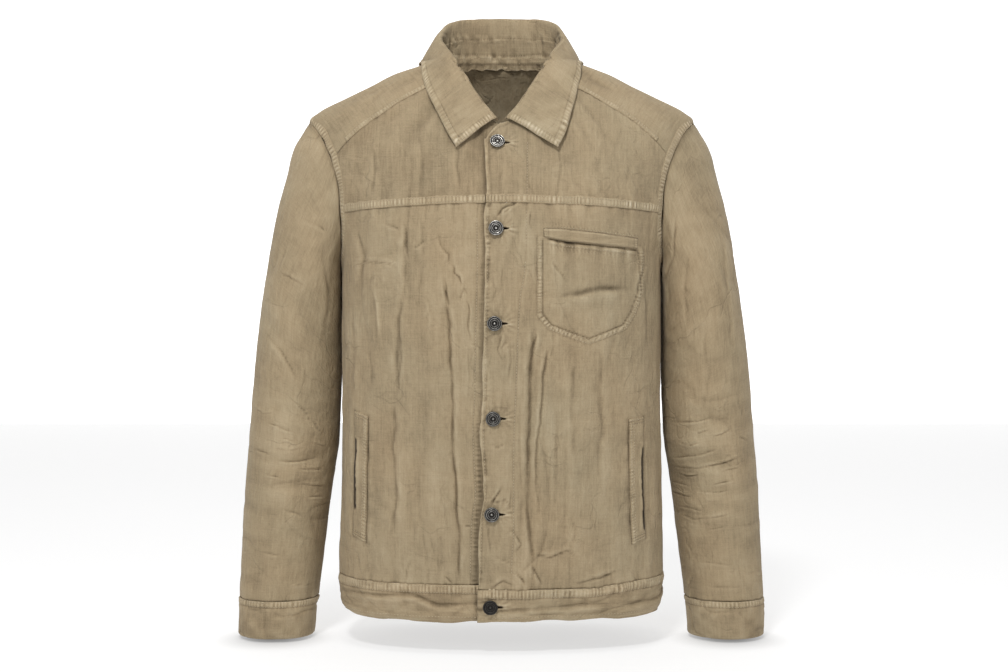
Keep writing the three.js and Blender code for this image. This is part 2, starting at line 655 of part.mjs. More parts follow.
// A point of the collar's hidden face: along is its angle round the neck, side its half, and way runs
// from 0 at the neck seam to 1 at the fold and 2 at the leaf's edge.
function collarPoint(along, side, way) {
  const at = (name) => collarLine(along, name);
  const seam = neckAt(along * deg, side);
  const run = neckRun(along);
  const lean = side * collarLean * ease((along - 120) / 60);
  const edge = new THREE.Vector3(at("edgeX") + lean, at("edgeY"), at("edgeZ"));
  const over = edge.clone().sub(seam.point).normalize();
  const fold = new THREE.Vector3(at("foldX"), at("foldY"), at("foldZ"));
  fold.addScaledVector(run.clone().cross(over).normalize(), -collarThick);
  fold.y -= liftAt(fold.x) * ease((along - 110) / 30);
  const rising = fold.clone().sub(seam.point).normalize();
  const out = new THREE.Vector3().crossVectors(rising, run).normalize();
  const base = seam.point.clone().addScaledVector(rising, 1.5).addScaledVector(out, 0.25 * collarThick);
  const stand = fold.clone().sub(base);
  const leaf = edge.clone().sub(fold);
  let point;
  if (way <= 1) {
    const pull = over.clone().multiplyScalar(2.4 * Math.sqrt(stand.length()));
    point = hermite(base, fold, stand.multiplyScalar(1.1), pull, way);
  } else {
    const pull = over.clone().multiplyScalar(2.4 * Math.sqrt(leaf.length()));
    point = hermite(fold, edge, pull, leaf, way - 1);
    clearOf(point, lerp(-2, collarClear, ease((way - 1) / 0.15)) + liftAt(point.x));
  }
  point.x *= side;
  return point;
}

const seamWay = (along) => {
  const long = collarPoint(along, 1, 0).distanceTo(collarPoint(along, 1, 1));
  return standShare + (2 * seamGap) / long;
};
function collarPatch(ways) {
  const turns = [...collarTurns.toReversed().map((t) => -t), ...collarTurns.slice(1)];
  return new Patch().grid(turns, ways, (turn, row) => {
    const side = turn < 0 ? -1 : 1;
    const along = Math.abs(turn);
    const way = row === "seam" ? seamWay(along) : row;
    const lower = clamp(along - 0.5, 0, 178);
    const point = collarPoint(along, side, way);
    const around = collarPoint(lower + 1, side, way).sub(collarPoint(lower, side, way)).multiplyScalar(side);
    if (along === 0) around.set(1, 0, 0);
    const low = clamp(way - 0.02, 0, 1.96);
    const up = collarPoint(along, side, low + 0.04).sub(collarPoint(along, side, low));
    return { point, normal: around.cross(up).normalize() };
  });
}

// Pocket pieces lie on a front panel: made from its points, moved out, and cut to an outline.
function onPanel(panel, outline, lift, thick) {
  return geometryOf(solidOf(wall(panel, thick, lift + thick)).intersect(solidOf(prism(outline))));
}

const chestPocket = [
  { x: 47.5, z: -226 },
  { x: 161, z: -236 },
  { x: 164, z: -250 },
  { x: 161, z: -283 },
  { x: 153, z: -306 },
  { x: 142, z: -322 },
  { x: 100, z: -338 },
  { x: 58, z: -322 },
  { x: 47.5, z: -310 },
];
const chestWelt = [
  { x: 48.5, z: -212 },
  { x: 160.5, z: -220 },
  { x: 160, z: -231.5 },
  { x: 49.5, z: -223.5 },
];
const sideWelt = {
  "1": [
    { x: 146, z: -434 },
    { x: 168, z: -432 },
    { x: 170, z: -568 },
    { x: 150, z: -576 },
  ],
  "-1": [
    { x: -174, z: -428 },
    { x: -155, z: -431 },
    { x: -155, z: -580 },
    { x: -172, z: -570 },
  ],
};

// Where a button sits on the upper front or on the waistband's upper end.
function buttonPlace(i) {
  const [x, z] = [buttonX(buttonZ[i]), buttonZ[i]];
  return cloth(turnAt(x, z, 1), z, i === 5 ? bandLift(x, true) : liftAt(x));
}

// Turns geometry made about its own Z into place on the cloth, its X level.
function onto(place, geometry) {
  const across = new THREE.Vector3(0, 0, 1).cross(place.normal).normalize();
  const up = place.normal.clone().cross(across);
  const turn = new THREE.Matrix4().makeBasis(across, up, place.normal);
  return geometry.applyMatrix4(turn.setPosition(place.point));
}

// A keyhole slit through the upper layer only, for a button's shank.
function buttonhole(i) {
  const shape = new THREE.Shape();
  shape.absarc(0, 0, 2.3, 30 * deg, 330 * deg, false);
  shape.lineTo(13, -0.9);
  shape.lineTo(13, 0.9);
  const deep = i === 5 ? bandThick + layerGap / 2 : shellThick + 4;
  const size = { depth: deep + 3, bevelEnabled: false, curveSegments: 6 };
  return solidOf(onto(buttonPlace(i), new THREE.ExtrudeGeometry(shape, size).translate(0, 0, -deep)));
}

// A metal button: a dished face with two raised rings and a pip, on a shank that goes through the slit.
function button(i) {
  const radius = buttonWide / 2;
  const shankEnd = 0.3 - (i === 5 ? bandThick : shellThick) - layerGap;
  const profile = [
    [0, shankEnd],
    [1.5, shankEnd],
    [1.5, buttonRise],
    [radius - 1, buttonRise],
    [radius, 2],
    [radius - 0.6, 3.5],
    [radius - 2.4, 2.8],
    [radius - 4, 3.3],
    [2.2, 2.5],
    [0, 3.3],
  ].map(([r, h]) => new THREE.Vector2(r, h));
  return onto(buttonPlace(i), new THREE.LatheGeometry(profile, 14).rotateX(90 * deg));
}

// Materials
const linen = new THREE.MeshStandardMaterial({ color: 0xa29174, roughness: 0.92, metalness: 0 });
const metal = new THREE.MeshStandardMaterial({ color: 0x4a4541, roughness: 0.38, metalness: 1 });

const jacket = new THREE.Group();
function add(name, geometry) {
  const mesh = new THREE.Mesh(geometry, linen.clone());
  mesh.name = name;
  jacket.add(mesh);
}

const lower = { "1": lowerFront(1), "-1": lowerFront(-1) };
const cutSlits = (geometry, buttons) =>
  geometryOf(buttons.reduce((solid, i) => solid.subtract(buttonhole(i)), solidOf(geometry)));

add("front_upper_left", cutSlits(wall(upperFront(1), shellThick), [0]));
add("front_lower_left", cutSlits(wall(lower[1], shellThick), [1, 2, 3, 4]));
add("front_upper_right", wall(upperFront(-1), shellThick));
add("front_lower_right", wall(lower[-1], shellThick));
add("back_panel", wall(backPanel(), shellThick));
add("yoke", wall(yoke(), shellThick));
add("waistband", cutSlits(wall(waistband(), bandThick), [5]));
add("sleeve_left", wall(sleevePatch(1), shellThick));
add("sleeve_right", wall(sleevePatch(-1), shellThick));
add("cuff_left", wall(cuffPatch(1), bandThick));
add("cuff_right", wall(cuffPatch(-1), bandThick));
add("collar_stand", wall(collarPatch([0, 0.25, standShare]), collarThick, collarThick));
const fallWays = ["seam", 0.8, 0.95, 1.05, 1.18, 1.45, 1.75, 2];
add("collar_fall", wall(collarPatch(fallWays), collarThick, collarThick));
add("chest_pocket_bag", onPanel(lower[1], chestPocket, -shellThick - 0.4 - pocketThick, pocketThick));
add("chest_welt", onPanel(lower[1], chestWelt, 0.4, weltThick));
add("side_welt_left", onPanel(lower[1], sideWelt[1], 0.4, weltThick));
add("side_welt_right", onPanel(lower[-1], sideWelt[-1], 0.4, weltThick));

buttonZ.forEach((_, i) => {
  const mesh = new THREE.Mesh(button(i), metal.clone());
  mesh.name = "button_" + (i + 1);
  jacket.add(mesh);
});

export default jacket;
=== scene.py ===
import math

import bmesh
import bpy
import numpy as np
from mathutils import Matrix, Vector


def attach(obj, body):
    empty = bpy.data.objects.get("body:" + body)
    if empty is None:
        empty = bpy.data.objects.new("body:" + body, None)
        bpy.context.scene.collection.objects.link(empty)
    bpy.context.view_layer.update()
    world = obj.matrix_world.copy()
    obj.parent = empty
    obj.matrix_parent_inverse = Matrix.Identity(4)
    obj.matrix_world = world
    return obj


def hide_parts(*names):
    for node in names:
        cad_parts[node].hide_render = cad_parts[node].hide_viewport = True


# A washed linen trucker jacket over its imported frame. Lengths are worked out in millimetres, front towards
# -Y and the wearer's left at +X, and become metres when a mesh is filled.
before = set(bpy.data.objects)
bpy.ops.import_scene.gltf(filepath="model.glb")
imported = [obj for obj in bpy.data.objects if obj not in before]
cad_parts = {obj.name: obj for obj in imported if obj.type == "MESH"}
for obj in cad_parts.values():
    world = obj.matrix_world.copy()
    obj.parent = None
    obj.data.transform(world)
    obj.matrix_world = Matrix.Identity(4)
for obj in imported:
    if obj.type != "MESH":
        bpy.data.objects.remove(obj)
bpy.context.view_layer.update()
mm = 0.001
sideWord = {1: "left", -1: "right"}  # the wearer's


def ease(t):
    t = np.clip(t, 0, 1)
    return t * t * (3 - 2 * t)


def lerp(a, b, t):
    return a + (b - a) * t


def unit(v):
    return v / np.maximum(np.linalg.norm(v, axis=-1, keepdims=True), 1e-9)


def dot(a, b):
    return (a * b).sum(axis=-1)


def bell(x, wide):
    return np.exp(-((x / wide) ** 2))


# Reads two short columns as a smooth curve.
def curve(at, value):
    at, value = np.array(at, float), np.array(value, float)
    step = np.diff(value) / np.diff(at)
    slope = np.zeros(len(at))
    slope[0], slope[-1] = step[0], step[-1]
    both = step[:-1] * step[1:]
    slope[1:-1] = np.where(both > 0, 2 * both / np.where(both > 0, step[:-1] + step[1:], 1), 0)

    def read(x):
        x = np.asarray(x, float)
        i = np.clip(np.searchsorted(at, x) - 1, 0, len(at) - 2)
        wide = at[i + 1] - at[i]
        t = (x - at[i]) / wide
        inside = (
            value[i] * (1 + 2 * t) * (1 - t) ** 2
            + slope[i] * wide * t * (1 - t) ** 2
            + value[i + 1] * t * t * (3 - 2 * t)
            + slope[i + 1] * wide * t * t * (t - 1)
        )
        below = value[0] + slope[0] * (x - at[0])
        above = value[-1] + slope[-1] * (x - at[-1])
        return np.where(x <= at[0], below, np.where(x >= at[-1], above, inside))

    return read


# Smooth noise from -1 to 1 on a seeded lattice, its waves given in millimetres each way.
def noise(x, y, seed, waveX, waveY):
    lattice = np.random.RandomState(seed).uniform(-1, 1, (61, 61))
    gx, gy = np.asarray(x) / waveX, np.asarray(y) / waveY
    ix, iy = np.floor(gx).astype(int), np.floor(gy).astype(int)
    fx, fy = ease(gx - ix), ease(gy - iy)
    corner = lambda i, j: lattice[(ix + i) % 61, (iy + j) % 61]
    low = lerp(corner(0, 0), corner(1, 0), fx)
    return lerp(low, lerp(corner(0, 1), corner(1, 1), fx), fy)


# The same along one direction only
def drift(x, seed, wave):
    return noise(x, 0 * x, seed, wave, wave)


# The body's sections, as the frame has them
torsoRows = np.array([
    [-660, 191, 117, 110, 2.5], [-640, 195, 121, 113, 2.5], [-619, 196, 122, 114, 2.5],
    [-520, 194, 124, 112, 2.45], [-420, 192.5, 127, 112, 2.4], [-330, 193, 129, 117, 2.4],
    [-252, 193.5, 128, 121, 2.4], [-207, 200, 125, 120, 2.4], [-183, 207, 122, 118, 2.35],
    [-160, 213, 118, 115, 2.3], [-130, 223, 109, 110, 2.25], [-100, 232, 95, 104, 2.2],
    [-75, 234, 79, 97, 2.15], [-63, 221.5, 73, 93, 2.1], [-48, 192, 66, 88, 2.1],
    [-34, 163, 60, 82, 2.1], [-19, 133.5, 54, 75, 2.1], [-9, 104, 49, 69, 2.1],
    [0, 78, 45, 64, 2.1], [6, 72, 42, 61, 2.1],
])
sideOf, frontOf, backOf, squareOf = (curve(torsoRows[:, 0], torsoRows[:, k]) for k in (1, 2, 3, 4))
frontEdge = curve(
    [-660, -600, -550, -515, -480, -440, -400, -345, -290, -240, -205, -170, -142, -100],
    [-27.5, -26.8, -25.5, -21, -22.5, -23.8, -21.6, -21, -19.6, -18.6, -19.4, -16.8, -18.2, -20.4],
)
yokeSeam = curve([58, 96, 148, 174.5, 191, 205, 240], [-27.5, -44.5, -77.5, -99, -115, -131, -172])
jacket = {
    "hem": -660, "bandTop": -619, "cuffTop": -651, "cuffEnd": -696, "neckHalf": 78, "neckDrop": 89,
    "neckRise": 5, "neckCorner": 58, "overlap": 35, "backSeam": -118, "shell": 2, "band": 2.4,
    "layer": 1.1, "gap": 0.3,
}
armhole = {"z": -163.5, "high": 88.5, "deep": 60}
armpit = armhole["z"] - armhole["high"]


def chestSeam(x):
    return -183 - 7 * (x / 192) ** 2


# How far the left front stands out near the middle, where it lies on the right one.
def liftAt(x):
    return (jacket["shell"] + jacket["layer"]) * (1 - ease((x - 22) / 32))


def depthOf(z, face):
    return np.where(face > 0, frontOf(z), backOf(z))


def bare(turn, z):
    turn, z = np.broadcast_arrays(np.asarray(turn, float), np.asarray(z, float))
    square = squareOf(z)
    across = np.abs(np.sin(turn)) / sideOf(z)
    deep = np.abs(np.cos(turn)) / depthOf(z, np.cos(turn))
    radius = (across ** square + deep ** square) ** (-1 / square)
    return np.stack([radius * np.sin(turn), -radius * np.cos(turn), z], -1)


def bareNormal(turn, z):
    right = bare(turn + 0.002, z) - bare(turn - 0.002, z)
    return unit(np.cross(right, bare(turn, z + 0.3) - bare(turn, z - 0.3)))


def turnAt(x, z, face):
    square = squareOf(z)
    share = np.clip(np.abs(x) / sideOf(z), 0, 1)
    return np.arctan2(x, face * depthOf(z, face) * (1 - share ** square) ** (1 / square))


# The turn of the armhole's edge at a height, and of the side seam below it.
def armEdge(z, face):
    share = np.clip((z - armhole["z"]) / armhole["high"], -1, 1)
    y = armhole["deep"] * np.sqrt(1 - share ** 2)
    square = squareOf(z)
    x = sideOf(z) * (1 - (y / depthOf(z, face)) ** square) ** (1 / square)
    return np.arctan2(x, face * y)


def armholeAt(angle):
    z = armhole["z"] + armhole["high"] * np.cos(angle)
    y = -armhole["deep"] * np.sin(angle)
    square = squareOf(z)
    x = sideOf(z) * (1 - (np.abs(y) / depthOf(z, -y)) ** square) ** (1 / square)
    return x, y, z


# Millimetres of cloth round the body, from the centre front to a turn.
turnTable = np.linspace(-math.pi / 2, 2.6 * math.pi, 1200)
stepTable = np.linalg.norm(np.diff(bare(turnTable, -430), axis=0), axis=1)
runTable = np.append(0, np.cumsum(stepTable))
runTable -= np.interp(0, turnTable, runTable)


def arcAt(turn):
    return np.interp(turn, turnTable, runTable)


# How far each place is from a drawn line, how far along the line it lies, and on which side of it
def nearLine(x, z, points):
    best, along, turned = np.full(x.shape, 1e9), np.zeros(x.shape), np.ones(x.shape)
    run = 0.0
    for (ax, az), (bx, bz) in zip(points[:-1], points[1:]):
        dx, dz = bx - ax, bz - az
        long = math.hypot(dx, dz)
        t = np.clip(((x - ax) * dx + (z - az) * dz) / long ** 2, 0, 1)
        off = np.hypot(x - ax - t * dx, z - az - t * dz)
        closer = off < best
        best = np.where(closer, off, best)
        along = np.where(closer, run + t * long, along)
        turned = np.where(closer, np.sign((x - ax) * dz - (z - az) * dx), turned)
        run += long
    return best, along, turned


def runOf(points):
    run = 0.0
    for (ax, az), (bx, bz) in zip(points[:-1], points[1:]):
        run += math.hypot(bx - ax, bz - az)
    return run


# pale sets the painted highlight on a crease's ridge, dark the painted shade in its trough
creaseShape = {"slim": 0.5, "deep": 1.2, "pale": 0.3, "dark": 0.5}


# Creases, one row each: how deep the trough is, how wide, how high the ridge beside it is, on which
# side of the run that ridge lies, and then x and z of each point, as seen square on.
def creased(x, z, creases, seed, narrow=1.0):
    rise, tone = np.zeros(x.shape), np.zeros(x.shape)
    for k, (deep, wide, ridge, side, *points) in enumerate(creases):
        points = np.array(points, float).reshape(-1, 2)
        reach = 5 * wide + 6
        near = (
            (x > points[:, 0].min() - reach) & (x < points[:, 0].max() + reach)
            & (z > points[:, 1].min() - reach) & (z < points[:, 1].max() + reach)
        )
        if not near.any():
            continue
        px, pz = x[near], z[near]
        px, pz = (px + 1.5 * noise(px, pz, seed + k, 20, 20) + 0.7 * noise(px, pz, seed + k, 7, 7),
                  pz + 1.3 * noise(px, pz, seed + k + 9, 16, 16))
        best, along, turned = nearLine(px, pz, points)
        away, run = best * turned, runOf(points)
        fade = min(30, run / 3)
        share = ease(along / fade + 0.12) * ease((run - along) / fade + 0.12)
        share *= 0.78 + 0.4 * drift(along, seed + 40 + k, 17)
        share *= np.where(np.abs(best) < reach, 1, 0)
        slim = creaseShape["slim"] * wide * narrow
        trough = 1 / (1 + (away / slim) ** 2) ** 1.5
        beside = bell(away - side * 2.2 * slim, 1.9 * slim)
        other = bell(away + side * 2.6 * slim, 2.2 * slim)
        rise[near] += creaseShape["deep"] * share * (ridge * beside + 0.3 * ridge * other - deep * trough)
        # Painted shade along the trough and painted highlight on the ridge beside it
        dark = np.clip(deep, -1, 1.5) * bell(away, 0.75 * slim)
        pale = creaseShape["pale"] * np.clip(ridge, -1, 1) * beside
        tone[near] += share * (pale - creaseShape["dark"] * dark)
    return rise, tone


# Broad folds, the same as the frame's: face, two ends, height and half width.
torsoFolds = [
    (1, -62, -270, -49, -612, -3.2, 9), (1, -82, -250, -70, -600, 2.2, 12),
    (1, -122, -330, -130, -560, -2.4, 11),
    (1, -146, -225, -142, -420, 2.4, 10), (1, 34, -330, 33, -600, -3, 8), (1, 52, -360, 44, -590, 2.4, 8),
    (1, 82, -360, 78, -570, 2, 14), (1, 118, -400, 112, -600, -2, 13), (1, -70, -215, -38, -300, -2, 10),
    (1, 50, -100, 54, -172, -1.4, 9), (1, -80, -105, -66, -172, -1.4, 9),
    (-1, -120, -150, -96, -560, -2.8, 15), (-1, -62, -260, -54, -600, 2.6, 14),
    (-1, 6, -140, -4, -420, -2.2, 15),
    (-1, 58, -220, 70, -590, 2.4, 15), (-1, 118, -160, 108, -540, -2.8, 15),
]
frontCreases = [
    (
        2.6, 3.4, 1.7, -1, -65, -262, -61, -305, -58, -352, -56, -390, -55, -470, -51, -517, -49, -563, -49,
        -615,
    ),
    (1.2, 4.5, 0.8, 1, -111, -208, -110, -276, -118, -321, -122, -390),
    (-0.9, 4, -0.5, 1, -146, -250, -143, -305, -140, -336),
    (1.3, 5, 0.9, -1, -123, -408, -126, -464, -121, -521, -126, -567),
    (0.7, 4, 0.5, 1, -92, -196, -90, -245, -94, -300),
    (0.9, 3.5, 0.6, 1, -152, -344, -149, -372, -150, -400),
    (0.9, 3, 0.6, 1, -80, -560, -78, -590, -84, -614), (0.9, 3, 0.6, 1, -102, -590, -108, -606, -110, -616),
    (3.4, 4.2, 2.2, 1, 37, -322, 33.5, -363, 32, -394, 32, -442, 30, -479, 29, -520, 31, -554, 37, -611),
    (1.9, 3.2, 1.4, 1, 57, -338, 49, -378, 45, -407, 42.5, -432, 41, -452, 39, -499, 43, -522),
    (1.0, 2.6, 0.6, 1, 22, -604, 36, -590, 46, -578), (0.8, 6, 0.7, 1, 84, -350, 80, -420, 84, -480),
    (0.8, 6, 0.7, -1, 112, -345, 116, -430, 110, -520), (0.7, 5, 0.5, 1, 64, -410, 61, -470, 64, -540),
    (1.0, 2.2, 0.6, -1, -14, -518, -6, -524, 4, -522, 14, -532),
    (0.9, 2.4, 0.5, 1, 4, -560, 14, -556, 24, -562), (0.8, 2.4, 0.5, 1, -14, -458, -4, -462, 6, -456),
    (0.8, 2.4, 0.5, 1, 2, -352, 10, -346, 20, -350), (0.7, 3, 0.4, 1, -12, -380, -8, -420, -14, -450),
    (1.5, 2.8, 0.9, 1, 167, -243, 163, -264, 160, -296),
    (0.8, 3.4, 0.5, 1, 172, -255, 170, -300, 173, -350),
    (2.4, 7.5, 1.2, 1, 60, -289.5, 83, -288, 100, -282.5, 115, -280, 154, -280),
    (0.9, 2.2, 0.5, 1, 59, -250, 70, -266, 74, -276), (0.7, 5, 0.5, 1, -150, -110, -146, -140, -150, -176),
    (0.8, 4, 0.5, 1, -48, -112, -50, -140, -46, -172), (0.6, 5, 0.4, 1, -96, -96, -90, -130, -94, -170),
    (0.7, 4, 0.5, 1, 64, -110, 68, -140, 62, -176), (0.6, 5, 0.4, 1, 118, -104, 112, -140, 116, -176),
    (0.7, 3, 0.4, 1, 20, -150, 30, -160, 38, -176), (0.6, 5, 0.4, -1, 150, -130, 144, -160, 148, -184),
    (1.4, 2.4, 0.9, 1, -9, -588, 6, -592, 14, -595), (1.5, 2.4, 1.0, -1, -11, -621, 3, -614, 15, -618),
    (1.4, 2.4, 0.9, 1, 13, -600, 23, -612, 27, -620),
    (1.4, 2.4, 1.2, -1, 34, -582, 44, -586, 56, -588, 74, -580, 92, -593),
    (1.9, 2.8, 1.3, -1, 82, -620, 97, -616, 107, -612, 125, -610, 135, -606),
    (1.6, 2.6, 1.0, 1, 33, -595, 41, -608, 47, -619),
    (1.2, 2.4, 0.8, 1, 10, -553, 19, -564, 22, -572, 13, -582),
    (-1.3, 2.6, -0.7, 1, -16, -527, -9, -516, -2, -504), (1.5, 2.2, 0.6, 1, -13, -529, -5, -517, 2, -505),
    (1.1, 2.4, 0.7, 1, -14, -549, -15, -565, -13, -582), (1.0, 2.4, 0.6, 1, 13, -504, 11, -529, 13, -549),
    (1.2, 3.0, 0.8, 1, 41, -514, 44, -524, 43, -537), (1.2, 2.2, 0.7, 1, -42, -552, -34, -551),
    (0.9, 3.4, 0.7, 1, 82, -544, 83, -560, 81, -575), (1.0, 2.6, 0.7, 1, -65, -608, -55, -618),
    (2.0, 2.6, 1.3, 1, -72, -216, -70, -231, -65, -239, -60, -243, -59, -256),
    (1.8, 2.2, 1.3, -1, -57, -253, -53, -258, -54, -263, -48, -269, -46, -280),
    (1.8, 2.2, 1.2, 1, -48, -296, -44, -286, -42, -280, -38, -289),
    (1.9, 2.6, 1.2, 1, -64, -270, -63, -285, -60, -305),
    (1.2, 2.2, 0.9, -1, -42, -291, -37, -303, -38, -322, -36, -340),
    (0.9, 2.6, 0.7, 1, -84, -291, -81, -303, -85, -317),
    (1.3, 2.6, 0.9, 1, -110, -200, -110, -229, -108, -251),
    (1.3, 2.6, 0.8, 1, -104, -235, -96, -232, -88, -225),
    (1.0, 2.4, 1.0, -1, -170, -246, -150, -249, -130, -251, -113, -259),
    (1.1, 2.6, 0.8, 1, -134, -205, -121, -210, -119, -214),
    (-1.5, 3.2, -0.6, 1, -151, -263, -145, -285, -142, -317, -139, -351),
    (1.4, 3.0, 1.0, -1, -111, -294, -118, -311, -116, -340, -117, -374, -122, -408),
    (1.1, 2.2, 0.7, 1, -36, -343, -27, -346, -23, -349),
    (1.9, 2.4, 1.1, 1, -7, -203, 1, -192, 13, -185, 20, -181),
    (1.0, 2.4, 0.7, 1, -13, -357, -14, -374, -10, -385),
    (1.2, 2.4, 0.9, -1, 1, -328, -4, -351, 1, -362, 5, -354),
    (1.0, 2.6, 0.7, 1, 9, -340, 10, -362, 7, -385), (0.9, 2.4, 0.6, 1, -11, -271, -7, -283, -10, -297),
    (0.9, 2.0, 0.7, 1, -36, -340, -38, -362, -36, -385, -37, -414),
    (1.2, 2.2, 0.8, 1, 59, -251, 63, -259, 65, -263),
    (1.7, 2.6, 1.1, 1, 168, -249, 164, -263, 159, -275, 156, -288),
    (1.0, 2.4, 0.8, 1, 58, -328, 60, -345, 56, -365), (1.2, 3.0, 0.9, -1, 39, -328, 36, -351, 34, -371),
    (1.0, 2.6, 0.7, 1, 155, -342, 152, -365), (1.5, 2.4, 0.9, 1, 2, -196, 11, -189),
    (1.2, 2.2, 0.8, 1, 34, -193, 32, -206, 34, -214),
    (1.1, 2.6, 0.8, -1, 42, -217, 40, -249, 43, -277, 40, -303),
    (1.0, 2.4, 0.7, 1, -1, -351, 5, -342, 11, -341), (1.1, 5, 0.8, 1, -168, -204, -160, -240, -166, -290),
    (0.9, 5, 0.6, -1, -176, -300, -172, -360, -176, -410),
]
backCreases = [
    (1.6, 4.5, 1.1, 1, -118, -150, -108, -260, -100, -390, -96, -540),
    (1.1, 4, 0.8, -1, -60, -128, -66, -190, -58, -260),
    (1.3, 4.5, 0.9, 1, 4, -128, 8, -210, -2, -330, -4, -420),
    (1.3, 4.5, 0.9, -1, 60, -240, 66, -380, 70, -560), (1.6, 4.5, 1.1, 1, 116, -158, 112, -300, 108, -520),
    (1.1, 4, 0.8, 1, -34, -330, -28, -430, -34, -600), (1.0, 4, 0.7, -1, 30, -430, 36, -520, 30, -612),
    (1.2, 5, 0.9, -1, -150, -330, -146, -430, -152, -560),
    (1.2, 5, 0.9, 1, 150, -300, 146, -420, 150, -580), (1.0, 3, 0.6, 1, -40, -596, -10, -588, 24, -596),
    (1.1, 3, 0.6, -1, 70, -600, 96, -588, 120, -592), (0.8, 5, 0.5, 1, -140, -60, -90, -48, -60, -70),
    (0.8, 5, 0.5, 1, 60, -62, 100, -50, 140, -72),
]


# The body cloth's own relief in height and tone: broad folds, listed creases and washed-in rumple.
def torsoRelief(turn, z):
    point = bare(turn, z)
    x = point[..., 0]
    front = np.cos(turn) >= 0
    rise, tone = np.zeros(x.shape), np.zeros(x.shape)
    for face, x0, z0, x1, z1, high, wide in torsoFolds:
        dx, dz = x1 - x0, z1 - z0
        long = math.hypot(dx, dz)
        along = ((x - x0) * dx + (z - z0) * dz) / long
        across = ((x - x0) * dz - (z - z0) * dx) / long
        fade = min(45, long / 3)
        share = bell(across, wide) * ease(along / fade) * ease((long - along) / fade)
        rise += np.where(front == (face > 0), high * share, 0)
    for face, creases, seed in ((True, frontCreases, 300), (False, backCreases, 500)):
        here = front == face
        if here.any():
            up, shade = creased(x[here], z[here], creases, seed)
            rise[here] += up
            tone[here] += shade
    round_ = arcAt(turn % (2 * math.pi))
    calm = ease(np.abs(np.cos(turn)) / 0.2)
    warp = 9 * noise(round_, z, 21, 45, 90)
    soft = (
        0.95 * noise(round_ + warp, z, 22, 17, 85) + 0.55 * noise(round_ + warp, z, 23, 8.5, 42)
        + 0.42 * noise(round_, z + warp, 24, 24, 13) + 0.26 * noise(round_ - warp, z, 25, 5, 16)
    )
    wander = noise(round_ + 1.7 * warp, z + 0.5 * warp, 26, 31, 150)
    line = bell(wander, 0.07) * ease(1.6 * noise(round_, z, 27, 60, 80) + 0.2)
    rise += calm * (1.15 * soft - 1.1 * line)
    # Painted highlight where the rumple rises and painted shade along its lines
    tone += calm * (0.13 * soft - 0.16 * line)
    return rise, tone


# Puckers drawn in by the stitching, dying away from each seam.
def puckers(along, away, seed, reach=13, high=0.55):
    wave = noise(along, away, seed, 4.6, 40) + 0.6 * noise(along, away, seed + 1, 8.2, 60)
    return high * wave * np.exp(-np.maximum(away, 0) / reach) * (away > -6)


# Where a point of the body lies on the flat cloth
def cutAt(turn, z):
    return np.stack(np.broadcast_arrays(arcAt(turn), z), -1)


def onTorso(turn, z, lift=0.0, relief=True):
    normal = bareNormal(turn, z)
    rise, tone = torsoRelief(turn, z) if relief else (0 * z, 0 * z)
    return bare(turn, z) + normal * (rise + lift)[..., None], normal, tone


# Steps from 0 to 1 over a length in millimetres. A zone is from, to and its own finer step.
def spaced(long, coarse, *zones):
    at = [0.0]
    while at[-1] < long:
        steps = [fine for low, high, fine in zones if low - coarse <= at[-1] <= high]
        at.append(at[-1] + min(steps, default=coarse))
    return np.array(at) / at[-1]


def ladder(along, seed, pitch=4.3):
    phase = along / pitch + 0.5 * drift(along, seed, 12)
    strength = 0.75 + 0.6 * drift(along, seed + 1, 7)
    return strength * np.clip(1.5 * np.cos(2 * math.pi * phase), -1, 1)


# Takes a bmesh's result as a new mesh.
def meshFrom(shell, name):
    mesh = bpy.data.meshes.new(name)
    shell.to_mesh(mesh)
    shell.free()
    return mesh


def placed(name, data):
    piece = bpy.data.objects.new(name, data)
    bpy.context.scene.collection.objects.link(piece)
    return piece


def smoothed(mesh):
    mesh.polygons.foreach_set("use_smooth", [True] * len(mesh.polygons))


